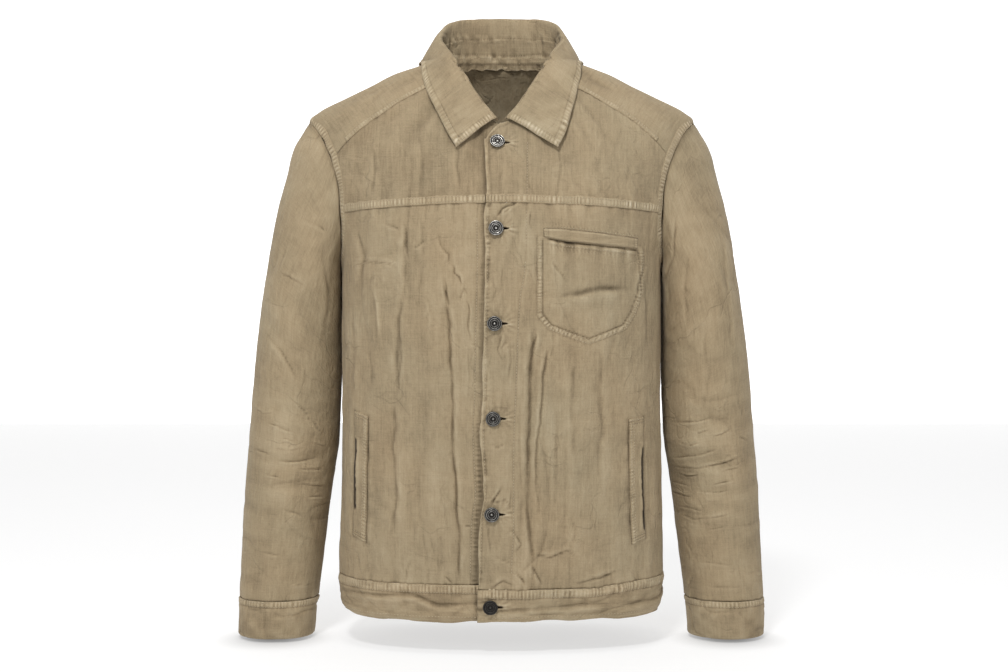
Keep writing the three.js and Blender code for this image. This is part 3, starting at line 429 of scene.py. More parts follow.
# A sheet of cloth from patches. A patch is steps across, steps up, and a function that places them.
def cloth(name, patches, thick=1.7, weld=False):
    shell = bmesh.new()
    for k, (us, vs, _) in enumerate(patches):
        bmesh.ops.create_grid(
            shell, x_segments=len(us) - 1, y_segments=len(vs) - 1, size=0.5,
            matrix=Matrix.Translation((2.0 * k, 0, 0)),
        )
    mesh = meshFrom(shell, name)
    flat = np.empty(len(mesh.vertices) * 3)
    mesh.vertices.foreach_get("co", flat)
    flat = flat.reshape(-1, 3)
    owner = np.rint(flat[:, 0] / 2.0).astype(int)
    point, outward = np.zeros(flat.shape), np.zeros(flat.shape)
    tone, cut = np.zeros(len(flat)), np.zeros((len(flat), 2))
    for k, (us, vs, place) in enumerate(patches):
        mine = owner == k
        i = np.rint((flat[mine, 0] - 2.0 * k + 0.5) * (len(us) - 1)).astype(int)
        j = np.rint((flat[mine, 1] + 0.5) * (len(vs) - 1)).astype(int)
        made = place(*np.meshgrid(us, vs, indexing="ij"))
        base = made["point"]
        across = np.linalg.norm(np.diff(base, axis=0), axis=-1).mean(axis=1)
        upward = np.linalg.norm(np.diff(base, axis=1), axis=-1).mean(axis=0)
        steps = (np.append(0, np.cumsum(across)), np.append(0, np.cumsum(upward)))
        uvs = np.stack(np.meshgrid(*steps, indexing="ij"), -1)
        point[mine] = base[i, j]
        outward[mine] = made["normal"][i, j]
        tone[mine] = made["tone"][i, j]
        cut[mine] = made.get("uv", uvs)[i, j]
    mesh.vertices.foreach_set("co", (point * mm).ravel())
    mesh.update()
    attribute = mesh.attributes.new("tone", "FLOAT", "POINT")
    attribute.data.foreach_set("value", tone)
    corners = np.empty(len(mesh.loops), int)
    mesh.loops.foreach_get("vertex_index", corners)
    uvLayer = mesh.uv_layers.new(name="cut")
    uvLayer.data.foreach_set("uv", (cut[corners] * mm).ravel())
    facing = np.empty(len(mesh.polygons) * 3)
    mesh.polygons.foreach_get("normal", facing)
    starts = np.empty(len(mesh.polygons), int)
    mesh.polygons.foreach_get("loop_start", starts)
    wrong = np.zeros(len(patches), bool)
    ownerOfFace = owner[corners[starts]]
    agree = dot(facing.reshape(-1, 3), outward[corners[starts]])
    for k in range(len(patches)):
        wrong[k] = agree[ownerOfFace == k].sum() < 0
    shell = bmesh.new()
    shell.from_mesh(mesh)
    shell.faces.ensure_lookup_table()
    back = [face for face, k in zip(shell.faces, ownerOfFace) if wrong[k]]
    if back:
        bmesh.ops.reverse_faces(shell, faces=back)
    if weld:
        bmesh.ops.remove_doubles(shell, verts=shell.verts, dist=0.02 * mm)
    shell.to_mesh(mesh)
    shell.free()
    smoothed(mesh)
    piece = placed(name, mesh)
    wall = piece.modifiers.new("wall", "SOLIDIFY")
    wall.thickness, wall.offset = thick * mm, -1
    return piece


def settle(piece, nodes):
    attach(piece, "root")
    if nodes:
        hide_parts(*nodes)
    return piece


# Rounds a sheet's free edge: how far a point sinks that lies this far inside it.
def rolled(inside, deep=0.9, wide=1.6):
    return -deep * (1 - np.clip(inside / wide, 0, 1)) ** 2


stitchRows = []


# Keeps a run of stitches: points along it, the way out, and the length of one stitch.
def stitch(point, normal, pitch=3.4, long=2.5, thick=0.3, lift=0.15):
    gaps = np.linalg.norm(np.diff(point, axis=0), axis=1)
    run = np.append(0, np.cumsum(gaps))
    count = max(1, int(run[-1] / pitch))
    at = (np.arange(count) + 0.5) * run[-1] / count
    read = lambda values, s: np.stack([np.interp(s, run, values[:, k]) for k in range(3)], -1)
    centre = read(point, at)
    ahead = unit(read(point, np.minimum(at + 0.6, run[-1])) - read(point, np.maximum(at - 0.6, 0)))
    out = unit(read(normal, at))
    stitchRows.append((centre + out * lift, ahead, out, np.full(count, long), np.full(count, thick)))


def frontPath(points, steps=160):
    points = np.array(points, float)
    run = np.append(0, np.cumsum(np.hypot(*np.diff(points, axis=0).T)))
    at = np.linspace(0, run[-1], steps)
    return np.interp(at, run, points[:, 0]), np.interp(at, run, points[:, 1])


# Everything drawn on the fronts below the chest: pocket outline, placket lines and their puckers.
pocket = {
    "bag": [
        (46.7, -226), (46.7, -310), (57, -322.5), (99.7, -338.4), (140.7, -322.5), (151, -306), (159, -284),
        (161.7, -250), (160.5, -236),
    ],
    "weltTop": curve([46, 67, 90, 158.5, 164], [-212, -212.6, -214.4, -221, -221.4]),
    "weltLow": curve([46, 56, 67, 112, 158.5, 164], [-222.6, -224, -225.8, -230.4, -233.8, -234]),
    "weltFrom": 48, "weltTo": 159,
}
sidePocket = {
    1: {
        "inner": [(146, -431), (148, -500), (150, -577)], "outer": [(166, -428.5), (167, -500), (169, -571)],
        "slit": [(163.5, -462), (162.5, -489), (165, -539), (166.5, -564)],
    },
    -1: {
        "inner": [(-154, -428), (-155, -500), (-157, -576)],
        "outer": [(-172, -422), (-173, -500), (-174, -569)],
        "slit": [(-170.5, -452), (-170.2, -500), (-170.8, -540)],
    },
}
placketLine = curve(
    [-620, -592, -554, -479, -394, -294, -258, -187, -110], [11.6, 11.9, 13.9, 13.9, 16.5, 21, 26.7, 29, 30],
)


# Relief that only one of the fronts has, and its tone: painted shade in the grooves, in the slit under the
# chest welt and on the right front beside the left front's edge, and painted highlight on the raised bars
# along the stitching.
def frontDetail(side, x, z):
    rise, tone = np.zeros(x.shape), np.zeros(x.shape)
    if side > 0:
        near, along, turned = nearLine(x, z, pocket["bag"])
        bars = ladder(along, 61, 3.9)
        outside = turned * near
        patchy = 0.8 + 0.5 * drift(along, 62, 19)
        rise += patchy * (0.7 * bell(outside - 3.0, 2.5) * (1 + 0.8 * bars)) - 1.0 * bell(outside + 0.4, 1.0)
        rise -= 0.5 * bell(outside - 6.6, 1.0)
        tone += patchy * 0.75 * bell(outside - 3.0, 2.4) * (0.4 + 0.9 * bars) - 0.8 * bell(outside + 0.4, 0.8)
        tone -= 0.25 * bell(outside - 6.6, 0.8)
        slit = pocket["weltLow"](x) - 1.0
        span = ease((x - 50) / 8) * ease((160 - x) / 3)
        gape = 0.75 + 0.75 * bell(x - 76, 17)
        rise += span * (-1.9 * bell(z - slit, 1.3 * gape) + 0.9 * bell(z - slit + 4.0, 2.0))
        tone += span * (-1.1 * bell(z - slit, 1.1 * gape) + 0.3 * bell(z - slit + 3.6, 1.6))
        below = slit - z
        rise += span * puckers(x, below - 3, 71, 13, 1.0) * ease((below - 2) / 4)
        above = z - pocket["weltTop"](x)
        rise += span * puckers(x, above, 73, 9, 0.5) * (above > 0)
        tone += span * 0.45 * puckers(x, below - 3, 71, 13, 1.1) * (below > 0)
        tone += span * (
            0.3 * bell(below - 8, 3.4) * ladder(x, 83, 3.9) + 0.3 * bell(above - 3, 2) * ladder(x, 84, 3.5)
        )
        line = x - placketLine(z)
        rise += -0.35 * bell(line, 1.2) + 0.4 * bell(line - 3, 2.4) * drift(z, 75, 4)
        tone += -0.22 * bell(line, 1.0) + 0.12 * bell(line - 3, 2)
        edge = x - frontEdge(z)
        rise += (
            puckers(z, edge, 77, 9, 0.9)
            + 0.5 * bell(edge - 4, 2.6) * ladder(z, 78, 4.6) * ease(drift(z, 76, 60) + 0.7)
        )
        tone += 0.22 * bell(edge - 4, 2.6) * ladder(z, 78, 4.6) * ease(drift(z, 76, 60) + 0.7)
    else:
        line = x - (frontEdge(z) - 8.5)
        rise += -0.5 * bell(line, 1.2)
        tone += -0.3 * bell(line, 1.0)
        low = ease((-420 - z) / 80) * ease((z + 640) / 30)
        bars = ladder(z, 79, 5.4) * (0.25 + 0.75 * low)
        rise += bell(line - 4.5, 3.4) * (0.7 * bars + 0.4 * noise(z, x * 0.4, 80, 8, 14))
        tone += bell(line - 4.5, 3.2) * (0.3 * bars - 0.2 * low)
        shadow = bell(x - frontEdge(z) + 1, 4)
        tone -= 0.5 * shadow
    lines = sidePocket[side]
    for name, deep in (("inner", 0.5), ("outer", 0.4)):
        near, along, turned = nearLine(x, z, lines[name])
        rise += -1.5 * deep * bell(near, 1.4) + 0.6 * bell(near - 3.4, 2) * (0.6 + drift(along, 81, 4))
        tone += 0.2 * bell(near - 3, 1.6) * drift(along, 81, 4) - 0.5 * bell(near, 1.3)
    return rise, tone


# How much lower the waistband's seam lies on the left front.
def bandDip(x, side):
    return 5.2 * (1 - ease((x - 95) / 70)) * (side > 0)


# Button places, and the slits beside them
buttons = {"z": [-113, -213, -321, -429, -538, -643], "firstX": -4.6, "lastX": -12.5}
slitShape = {"from": 3.0, "to": 15.6, "half": 1.55, "tack": 18.2}


def buttonX(z):
    return lerp(
        buttons["firstX"], buttons["lastX"], (z - buttons["z"][0]) / (buttons["z"][5] - buttons["z"][0]),
    )


def buttonholes(x, z):
    rise, tone = np.zeros(x.shape), np.zeros(x.shape)
    for level in buttons["z"]:
        near = (np.abs(x - buttonX(level) - 8) < 26) & (np.abs(z - level) < 24)
        if not near.any():
            continue
        dx, dz = x[near] - buttonX(level), z[near] - level
        half = slitShape["half"] * np.clip((slitShape["to"] - dx) / 8, 0, 1) ** 0.65
        inSlit = ease((dx - slitShape["from"]) / 2) * ease((slitShape["to"] - dx) / 1.2)
        slit = inSlit * (1 - ease((np.abs(dz) - half + 0.5) / 0.9))
        rim = ease((dx - 5) / 2) * ease((slitShape["tack"] + 1 - dx) / 2.5) * bell(
            np.abs(dz) - half - 1.1, 0.9,
        )
        spread = np.arctan2(dz, dx - 6)
        rays = np.cos(spread * 13 + level) * bell(np.hypot(dx - 6, dz) - 13, 6)
        rise[near] += 0.55 * rim - 2.6 * slit - 0.9 * bell(np.hypot(dx, dz), 9.5) + 0.32 * rays
        fan = bell(dx - 19, 4.5) * bell(dz, 1.5 + 0.25 * np.abs(dx)) * np.cos(spread * 17 + 0.7 * level)
        # Painted shade in the slit; the stitched rim, the fanning threads and the tack paler
        tone[near] += (
            0.5 * rim - 2.8 * slit + 0.12 * rays + 0.5 * fan
            + 0.35 * bell(dx - slitShape["tack"], 1.6) * bell(dz, 2.2)
        )
    return rise, tone


# The fronts' finished surface below the chest, anywhere on it
def lowerSurface(side, turn, z):
    x = bare(turn, z)[..., 0]
    start = 0 if side > 0 else jacket["overlap"]
    seam = jacket["bandTop"] - bandDip(x, side)
    under = np.maximum(ease((z - chestSeam(x) + 0.6) / 2), ease((seam + 0.6 - z) / 2))
    rise, tone = frontDetail(side, x, z)
    pull = puckers(x, chestSeam(x) - z, 91, 13, 0.9) + puckers(x, z - seam, 93, 10, 0.75)
    free = side * (x - frontEdge(z) - start) if side > 0 else 50 + 0 * x
    if side > 0:
        cut, dark = buttonholes(x, z)
        rise, tone = rise + cut, tone + dark
        lumps = drift(z, 87, 3.6) * ease(0.5 + drift(z, 86, 45))
        wander = free - 4.6 - 1.6 * drift(z, 85, 28)
        rise = rise + 0.35 * bell(free - 2.0, 1.5) + 1.2 * lumps * bell(free - 4, 3) - 0.6 * bell(wander, 0.8)
        # Painted highlight along the edge and over its lumps, and a line of painted shade beside them
        tone = (
            tone + bell(free - 1.2, 1.2) * 0.3 + 0.6 * lumps * bell(free - 3.5, 2.4) - 0.2 * bell(wander, 0.8)
        )
    lift = (liftAt(x) if side > 0 else 0 * x) - 1.5 * under + rise + pull + rolled(free)
    # The body's tone carries painted shade in its creases and painted highlight on their ridges
    point, normal, worn = onTorso(turn, z, lift)
    # Painted highlight over the puckers, paler along the free edge, and a painted shadow in thin lines under
    # the chest seam and over the band's seam
    tone = worn + tone + 0.3 * pull + 0.3 * bell(free, 1.4)
    tone = tone - 0.8 * bell(chestSeam(x) - z, 1.3) - 0.6 * bell(z - seam, 1.3)
    return {"point": point, "normal": normal, "tone": tone, "uv": cutAt(turn, z)}


# Lower fronts
lowerSteps = {"width": 236, "high": 436, "coarse": 1.95, "hole": 0.85}


def lowerFront(side):
    def place(u, v):
        start = 0 if side > 0 else jacket["overlap"]
        z = lerp(jacket["bandTop"], -190, v)
        for _ in range(8):
            wobble = 0.9 * drift(z, 89, 13) + 1.3 * drift(z, 90, 41) if side > 0 else 0
            turn = lerp(
                turnAt(frontEdge(z) + start + wobble, z, 1), side * armEdge(np.minimum(z, chestSeam(190)), 1),
                u,
            )
            x = bare(turn, z)[..., 0]
            z = lerp(jacket["bandTop"] - bandDip(x, side) - 3, chestSeam(x) + 3.2, v)
        return lowerSurface(side, turn, z)

    high, hole = lowerSteps["high"], lowerSteps["hole"]
    zones = [(0, 12, 1.3), (high - 20, high, 1.1)]
    if side > 0:
        zones += (
            [(622 + level - 5, 622 + level + 5, hole) for level in buttons["z"][1:5]] + [(280, 410, 1.45)]
        )
    across = (0, 80, 1.0) if side > 0 else (32, 88, 0.95)
    us = spaced(lowerSteps["width"], lowerSteps["coarse"] * (1.0 if side > 0 else 0.85), across)
    vs = spaced(high, lowerSteps["coarse"] * (1.2 if side > 0 else 1.0), *zones)
    return cloth(f"lower_front_{sideWord[side]}", [(us, vs, place)])


# Upper fronts, from the chest seam up to the neck and the shoulder seam
armAngles = np.linspace(0, math.pi, 400)
armPoints = np.stack(armholeAt(armAngles), -1)


def neckLine(x):
    falling = -jacket["neckDrop"] * (1 - np.clip(x / jacket["neckHalf"], 0, 1) ** 1.3)
    return np.where(x >= 0, falling, -jacket["neckDrop"] - 19 * np.clip(-x / 18, 0, 1) ** 1.6)


def upperTop(x):
    return np.where(x < jacket["neckCorner"], neckLine(x), yokeSeam(x))


upperPaintedShade = {1: 0.08, -1: 0.2}  # painted shade: how much darker than the rest each upper front is


def upperSurface(side, turn, z):
    x = bare(turn, z)[..., 0]
    out = side * x
    under = ease((z - yokeSeam(out) + 0.6) / 2) * (out > jacket["neckCorner"] + 1)
    free = (x - frontEdge(z)) if side > 0 else 50 + 0 * x
    corner = np.minimum(free, np.where(out < jacket["neckCorner"], neckLine(out) - z, 50))
    pull = puckers(x, z - chestSeam(x) - 8, 95, 11, 0.5) + puckers(x, yokeSeam(out) - z, 97, 9, 0.4)
    lift = (liftAt(x) if side > 0 else 0 * x) - 1.5 * under + rolled(corner) + pull
    tone = 0.3 * pull + 0.3 * bell(corner, 1.4)
    if side > 0:
        cut, dark = buttonholes(x, z)
        line = x - placketLine(z)
        lumps = drift(z, 88, 3.1)
        lift = lift + cut - 0.3 * bell(line, 1.2) + 0.45 * bell(corner - 2.2, 1.6) * (1 + lumps)
        # Painted shade along the placket line and beside the rolled corner, painted highlight on the corner's
        # lumps
        tone = (
            tone + dark - 0.25 * bell(line, 1.0) + bell(corner - 1.6, 2.0) * (0.3 + 0.35 * lumps)
            - 0.3 * bell(corner - 5.2, 1.2)
        )
    else:
        # Painted shadow on the right front beside the left front's edge
        tone = tone - 0.5 * bell(x - frontEdge(z) + 1, 4)
    # The body's tone carries painted shade in its creases and painted highlight on their ridges
    point, normal, worn = onTorso(turn, z, lift)
    # Painted shade over each upper front, and a painted shadow in a thin line under the yoke seam
    tone = worn + tone - upperPaintedShade[side] - 0.45 * bell(yokeSeam(out) - z, 1.4) * (out > jacket["neckCorner"])
    return {"point": point, "normal": normal, "tone": tone, "uv": np.stack([1.02 * x, z], -1)}


def upperFront(side):
    start = 0 if side > 0 else -jacket["overlap"]
    reach, heights = armPoints[:, 0], armPoints[:, 2]
    share = (heights - chestSeam(reach)) / (yokeSeam(reach) - chestSeam(reach))
    keep = (share > -0.2) & (share < 1.2)
    order = np.argsort(share[keep])

    def place(u, v):
        armX = np.interp(v, share[keep][order], reach[keep][order])
        z = lerp(-183, -90, v)
        for _ in range(12):
            x = lerp(side * frontEdge(z) + start, armX, u)
            top = upperTop(x) + 2.6 * ease((x - jacket["neckCorner"]) / 4)
            z = lerp(z, lerp(chestSeam(x) + jacket["gap"], top, v), 0.8)
        return upperSurface(side, side * turnAt(x, z, 1), z)

    us = spaced(226, 1.6, (0, 58, 1.0))
    vs = spaced(112, 1.6, (0, 10, 1.1), (62, 80, 0.9))
    return cloth(f"upper_front_{sideWord[side]}", [(us, vs, place)])


# The back below its yoke
def backPanel():
    def place(u, v):
        z = lerp(jacket["bandTop"] - 3, jacket["backSeam"] + 3, v)
        edge = armEdge(np.minimum(z, jacket["backSeam"]), -1)
        turn = math.pi - lerp(1, -1, u) * (math.pi - edge)
        x = bare(turn, z)[..., 0]
        under = np.maximum(ease((z - jacket["backSeam"] + 0.6) / 2), ease((jacket["bandTop"] + 0.6 - z) / 2))
        pull = (
            puckers(x, jacket["backSeam"] - z, 101, 12, 0.7) + puckers(x, z - jacket["bandTop"], 103, 9, 0.6)
        )
        point, normal, tone = onTorso(turn, z, pull - 1.5 * under)
        # Painted highlight over the puckers and a painted shadow in thin lines under the back seam and over
        # the band
        tone = (
            tone + 0.35 * pull - 0.4 * bell(jacket["backSeam"] - z, 1.6)
            - 0.3 * bell(z - jacket["bandTop"], 1.6)
        )
        return {"point": point, "normal": normal, "tone": tone, "uv": cutAt(turn, z)}

    return cloth("back_cloth", [(spaced(600, 2.9), spaced(504, 3.2, (0, 12, 1.6), (484, 504, 1.6)), place)])


# The yoke, over both shoulders and round the back of the neck
ridgeZ = np.linspace(-75, 6, 700)
ridgeX = sideOf(ridgeZ)


def ridge(x):
    return np.interp(-x, -ridgeX, ridgeZ)


def yokeCloth():
    cut = jacket["backSeam"] + jacket["gap"]
    downBack = np.arccos(np.clip((cut - armhole["z"]) / armhole["high"], -1, 1))
    angles = np.linspace(0, 1.2, 300)
    ax, _, az = armholeAt(angles)
    frontEnd = np.interp(0, (az - yokeSeam(ax) - jacket["gap"])[::-1], angles[::-1])
    counts = {"neck": 44, "shoulder": 68, "back": 46, "front": 30}
    tops = {"back": spaced(100, 2.4, (0, 12, 1.6)), "front": spaced(60, 1.8, (0, 12, 1.4))}

    def finish(turn, z, out=0.0):
        point, normal, tone = onTorso(turn, z, out + 0 * z)
        return {"point": point, "normal": normal, "tone": tone}

    def arm(v, face):
        angle = (1 - v) * (downBack if face < 0 else frontEnd)
        x, _, z = armholeAt(-angle if face < 0 else angle)
        low = cut + 0 * z if face < 0 else yokeSeam(x) + jacket["gap"]
        top = ridge(x)
        return x, np.clip((top - z) / (top - low), 0, 1)

    def neckBack(u, v):
        side = np.where(u < 0.5, 1, -1)
        neck = np.abs(2 * u - 1)
        _, fallen = arm(v, -1)
        down = np.sqrt(fallen)
        start = jacket["neckHalf"] * np.sin(neck * math.pi / 2)
        x = lerp(start, 84 * neck, down)
        top = lerp(jacket["neckRise"] * (1 - (start / 78) ** 2), np.where(x > 78, ridge(x), 0), neck)
        z = lerp(top, cut, lerp(down, fallen, neck))
        turn = turnAt(x, z, -1)
        return finish(np.where(side > 0, turn, 2 * math.pi - turn), z, rolled(top - z + 0.8))

    def shoulderBack(side):
        def place(u, v):
            armX, fallen = arm(v, -1)
            x = lerp(lerp(78, 84, np.sqrt(fallen)), armX, u)
            z = lerp(ridge(x), cut, fallen)
            turn = np.where(fallen == 0, math.pi / 2, turnAt(x, z, -1))
            return finish(side * turn, z)
        return place

    def shoulderFront(side):
        def place(u, v):
            armX, fallen = arm(v, 1)
            xs = np.linspace(58, 78, 200)
            gap = neckLine(xs)[None, :] - yokeSeam(xs)[None, :] * fallen[0][:, None]
            neckX = np.array([np.interp(0, row, xs) for row in gap])[None, :]
            x = lerp(neckX + 0 * u, armX, u)
            z = lerp(np.where(x > 78, ridge(x), 0), yokeSeam(x) + jacket["gap"], fallen)
            turn = np.where(fallen == 0, math.pi / 2, turnAt(x, z, 1))
            return finish(side * turn, z)
        return place

    neckSteps = np.linspace(0, 1, 2 * counts["neck"] + 1)
    outward = np.linspace(0, 1, counts["shoulder"] + 1)
    patches = [(neckSteps, tops["back"], neckBack)]
    for side in (1, -1):
        patches.append((outward, tops["back"], shoulderBack(side)))
        patches.append((outward, tops["front"], shoulderFront(side)))
    return cloth("yoke_cloth", patches, weld=True)


# The waistband: from the upper end, round the body, to the end that lies under it
bandLong = float(arcAt(2 * math.pi)) + jacket["overlap"] + 27


def waistSurface(turn, z):
    x = bare(turn, z)[..., 0]
    upper = turn < math.pi / 2
    long = arcAt(turn)
    down = jacket["bandTop"] - bandDip(x, np.where(upper, 1, -1)) - z
    bars = ladder(long, 111, 4.4)
    gather = bell(down - 5.2, 5.0)
    rise = (
        1.1 * gather * (1 + 0.6 * bars + 0.9 * noise(long, down, 110, 6, 12)) - 0.55 * bell(down - 1.6, 0.8)
        - 0.6 * bell(down - 10.2, 1.2)
    )
    sagging = 2.6 * drift(long, 113, 60)
    rise += 1.3 * noise(long, down * 4 + 16 * drift(long, 114, 90), 112, 60, 34)
    shows = ease(0.6 + 1.3 * drift(long, 119, 47))
    steep = 5 * drift(long, 120, 34)
    shows = 0.35 + 0.65 * shows
    rise += shows * (
        -2.2 * bell(down - 19 - sagging - steep, 2.2) + 2.0 * bell(down - 25 - sagging - steep, 4)
    )
    rise += puckers(long, down - 10, 115, 10, 0.8) + 0.35 * noise(long, z, 116, 9, 9)
    rise += 1.1 * bell(down - 36, 5) - (1.2 - shows) * 1.8 * bell(down - 31 + sagging + 0.7 * steep, 1.6)
    slope = noise(long - 1.2 * down, down + 0.25 * long, 109, 34, 19)
    below = ease((down - 8) / 6) * ease((z - jacket["hem"] - 2) / 6)
    rise += below * (1.3 * slope - 1.1 * bell(slope, 0.14))
    rise *= 0.3 + 0.7 * ease(np.abs(np.cos(turn)) / 0.5)
    inside = np.minimum(z - jacket["hem"], down)
    first = turnAt(frontEdge(z), z, 1)
    ends = np.minimum(turn - first, 2 * math.pi + turnAt(frontEdge(z) + jacket["overlap"], z, 1) - turn) * 122
    # Painted highlight on the gathers, their bars and the raised creases, painted shade at the stitch row and
    # in the crease troughs, and paler along the rolled edge
    tone = (
        0.55 * gather * (0.6 + 0.9 * bars + 0.4 * noise(long, down, 110, 6, 12)) - 0.45 * bell(down - 10.2, 1)
        + 0.3 * bell(inside, 1.4)
    )
    tone += (
        0.2 * noise(long, z, 116, 9, 9)
        - shows * (0.5 * bell(down - 19 - sagging - steep, 2) - 0.35 * bell(down - 25 - sagging - steep, 3.4))
    )
    tone += below * (0.15 * slope - 0.16 * bell(slope, 0.12))
    tone += (
        0.15 * noise(long, down, 117, 26, 7)
        - (1 - shows) * 0.3 * bell(down - 30 + sagging + 0.7 * steep, 1.1)
    )
    cut, dark = buttonholes(x, z)
    lift = (
        0.4 + np.where(upper, liftAt(x) * 1.15 + cut, 0) + rise + rolled(np.minimum(inside, ends), 1.3, 2.2)
    )
    # The buttonholes' painted shade on the upper end, and a painted shadow on the under end beside the upper
    # end's edge
    tone = tone + np.where(upper, dark, 0) - np.where(upper, 0, 0.5 * bell(x - frontEdge(z) + 1, 4))
    base, _ = torsoRelief(turn, z)
    point = bare(turn, z) + bareNormal(turn, z) * (lift + 0.5 * base)[..., None]
    return {"point": point, "normal": bareNormal(turn, z), "tone": tone, "uv": cutAt(turn, z)[..., ::-1]}


def waistband():
    def place(u, v):
        z = jacket["hem"] + 41 * v
        for _ in range(2):
            turn = lerp(
                turnAt(frontEdge(z), z, 1), 2 * math.pi + turnAt(frontEdge(z) + jacket["overlap"], z, 1), u,
            )
            dip = bandDip(bare(turn, z)[..., 0], np.where(turn < math.pi / 2, 1, -1))
            hem = jacket["hem"] + 2.6 * drift(arcAt(turn), 118, 30) - 1.4 - 1.0 * bell(turn, 0.5)
            z = lerp(hem, jacket["bandTop"] - dip, v)
        return waistSurface(turn, z)

    us = spaced(bandLong, 1.35, (22, 42, 0.9))
    return cloth("waistband_cloth", [(us, spaced(41, 1.2, (31, 41, 0.9)), place)], thick=2)


# Sleeves
sleeveRows = np.array([
    [-696, 319, 228, -2, 46], [-651, 318.5, 223.5, 0, 49], [-596, 316.6, 216.6, 3, 52],
    [-523, 313.5, 208, 8, 56],
    [-450, 308, 198.5, 12, 60], [-376, 302.6, 196, 13, 63], [-303, 294, 195.5, 12, 65],
    [-252, 286, 194.5, 9, 65],
    [-211, 279.4, 184, 7, 62], [-175, 271.5, 175, 5, 59], [-138, 260, 170, 4, 56], [-102, 248.5, 166, 4, 51],
    [-75, 235, 164, 4, 46],
])
outerOf, innerOf, middleOf, halfOf = (curve(sleeveRows[:, 0], sleeveRows[:, k]) for k in (1, 2, 3, 4))
sleeveFolds = {
    1: [(75, 75, -437, 0.28, -2.6, 8), (100, 70, -468, 0.22, 2.4, 9), (95, 80, -492, 0.2, -2.8, 8),
        (95, 75, -522, 0.12, -2.2, 8), (80, 60, -610, -0.05, -1.8, 9), (250, 60, -470, -0.1, -2.4, 11),
        (60, 60, -250, 0.9, -2.2, 14)],
    -1: [(60, 60, -330, -0.8, -2.4, 14), (95, 70, -440, -0.25, 2.2, 10), (110, 70, -486, 0.04, -2.8, 8),
         (115, 65, -516, -0.05, -2.2, 8), (85, 60, -612, 0.05, -1.6, 9), (250, 60, -480, 0.1, -2.4, 11),
         (60, 60, -235, 0.8, -2, 14)],
}
sleeveCreases = {
    1: [
        (1.3, 2.6, 0.9, 1, 206, -439, 228, -437, 250, -431),
        (1.4, 2.4, 0.9, -1, 250, -454, 262, -451, 273, -446),
        (1.6, 2.8, 1.1, 1, 203, -482, 230, -478, 256, -469),
        (1.8, 2.8, 1.2, -1, 203, -492, 232, -493, 262, -487, 290, -477),
        (1.4, 2.4, 0.8, 1, 203, -510, 226, -514), (1.4, 2.4, 0.8, 1, 252, -513, 280, -506),
        (1.3, 2.4, 0.8, -1, 204, -524, 228, -527), (1.2, 2.6, 0.8, 1, 214, -541, 238, -543),
        (1.2, 2.6, 0.8, -1, 226, -554, 250, -551, 272, -546), (1.1, 2.8, 0.7, 1, 235, -605, 271, -606),
        (1.0, 2.8, 0.6, 1, 248, -634, 288, -634), (1.0, 2.4, 0.6, 1, 230, -618, 224, -641),
        (1.5, 3.6, 1.0, 1, 208, -190, 204, -230, 198, -266, 203, -302),
        (1.0, 4.5, 0.7, 1, 222, -230, 216, -280, 224, -330),
        (0.9, 6, 0.7, -1, 262, -210, 270, -290, 276, -360),
        (0.9, 5, 0.6, 1, 240, -330, 246, -380, 240, -420), (1.0, 3.4, 0.6, 1, 280, -400, 292, -440),
        (1.5, 2.0, 0.9, 1, 212, -462, 226, -466, 240, -461), (1.4, 2.0, 0.9, -1, 262, -497, 284, -492),
        (1.4, 1.9, 0.9, -1, 210, -499, 222, -503, 236, -501),
        (1.4, 2.0, 0.9, 1, 232, -519, 258, -522, 274, -517), (1.3, 2.0, 0.8, -1, 242, -533, 262, -531),
        (1.3, 2.0, 0.8, 1, 216, -551, 234, -556), (1.1, 2.0, 0.7, 1, 244, -566, 266, -562),
        (1.3, 1.9, 0.8, -1, 232, -452, 246, -446), (1.0, 2.4, 0.7, 1, 222, -580, 232, -600, 228, -622),
        (1.2, 2.0, 0.8, 1, 254, -418, 272, -424), (1.2, 2.2, 0.8, -1, 282, -454, 296, -462),
    ],
    -1: [
        (1.5, 2.6, 1.0, 1, -268, -483, -240, -485, -216, -482), (1.3, 2.4, 0.8, 1, -242, -494, -213, -496),
        (1.3, 2.6, 0.8, -1, -240, -510, -213, -516), (1.6, 2.6, 1.0, 1, -278, -438, -262, -444, -247, -450),
        (1.3, 2.6, 0.8, 1, -228, -434, -217, -452), (1.1, 2.6, 0.6, 1, -252, -629, -227, -634),
        (1.2, 3, 0.8, 1, -236, -196, -204, -211), (1.2, 3.4, 0.8, -1, -264, -257, -231, -277),
        (1.0, 4.5, 0.7, 1, -212, -230, -206, -290, -214, -350),
        (1.0, 4.5, 0.7, 1, -284, -330, -262, -352, -240, -392), (1.2, 2.8, 0.7, 1, -296, -470, -276, -476),
        (0.9, 3.4, 0.6, 1, -262, -540, -232, -552), (0.8, 3.4, 0.5, 1, -290, -590, -262, -596),
        (1.3, 2.0, 0.9, -1, -272, -468, -252, -472, -232, -468), (1.3, 2.0, 0.9, 1, -282, -500, -262, -504),
        (1.3, 2.0, 0.8, 1, -232, -528, -214, -530), (1.2, 1.9, 0.8, 1, -260, -456, -244, -462),
        (1.1, 2.2, 0.8, -1, -298, -420, -284, -428, -272, -426),
        (1.2, 1.9, 0.8, -1, -226, -462, -212, -468), (1.1, 2.2, 0.7, 1, -246, -412, -234, -424, -228, -442),
        (1.0, 2.4, 0.6, 1, -276, -560, -256, -566),
    ],
}


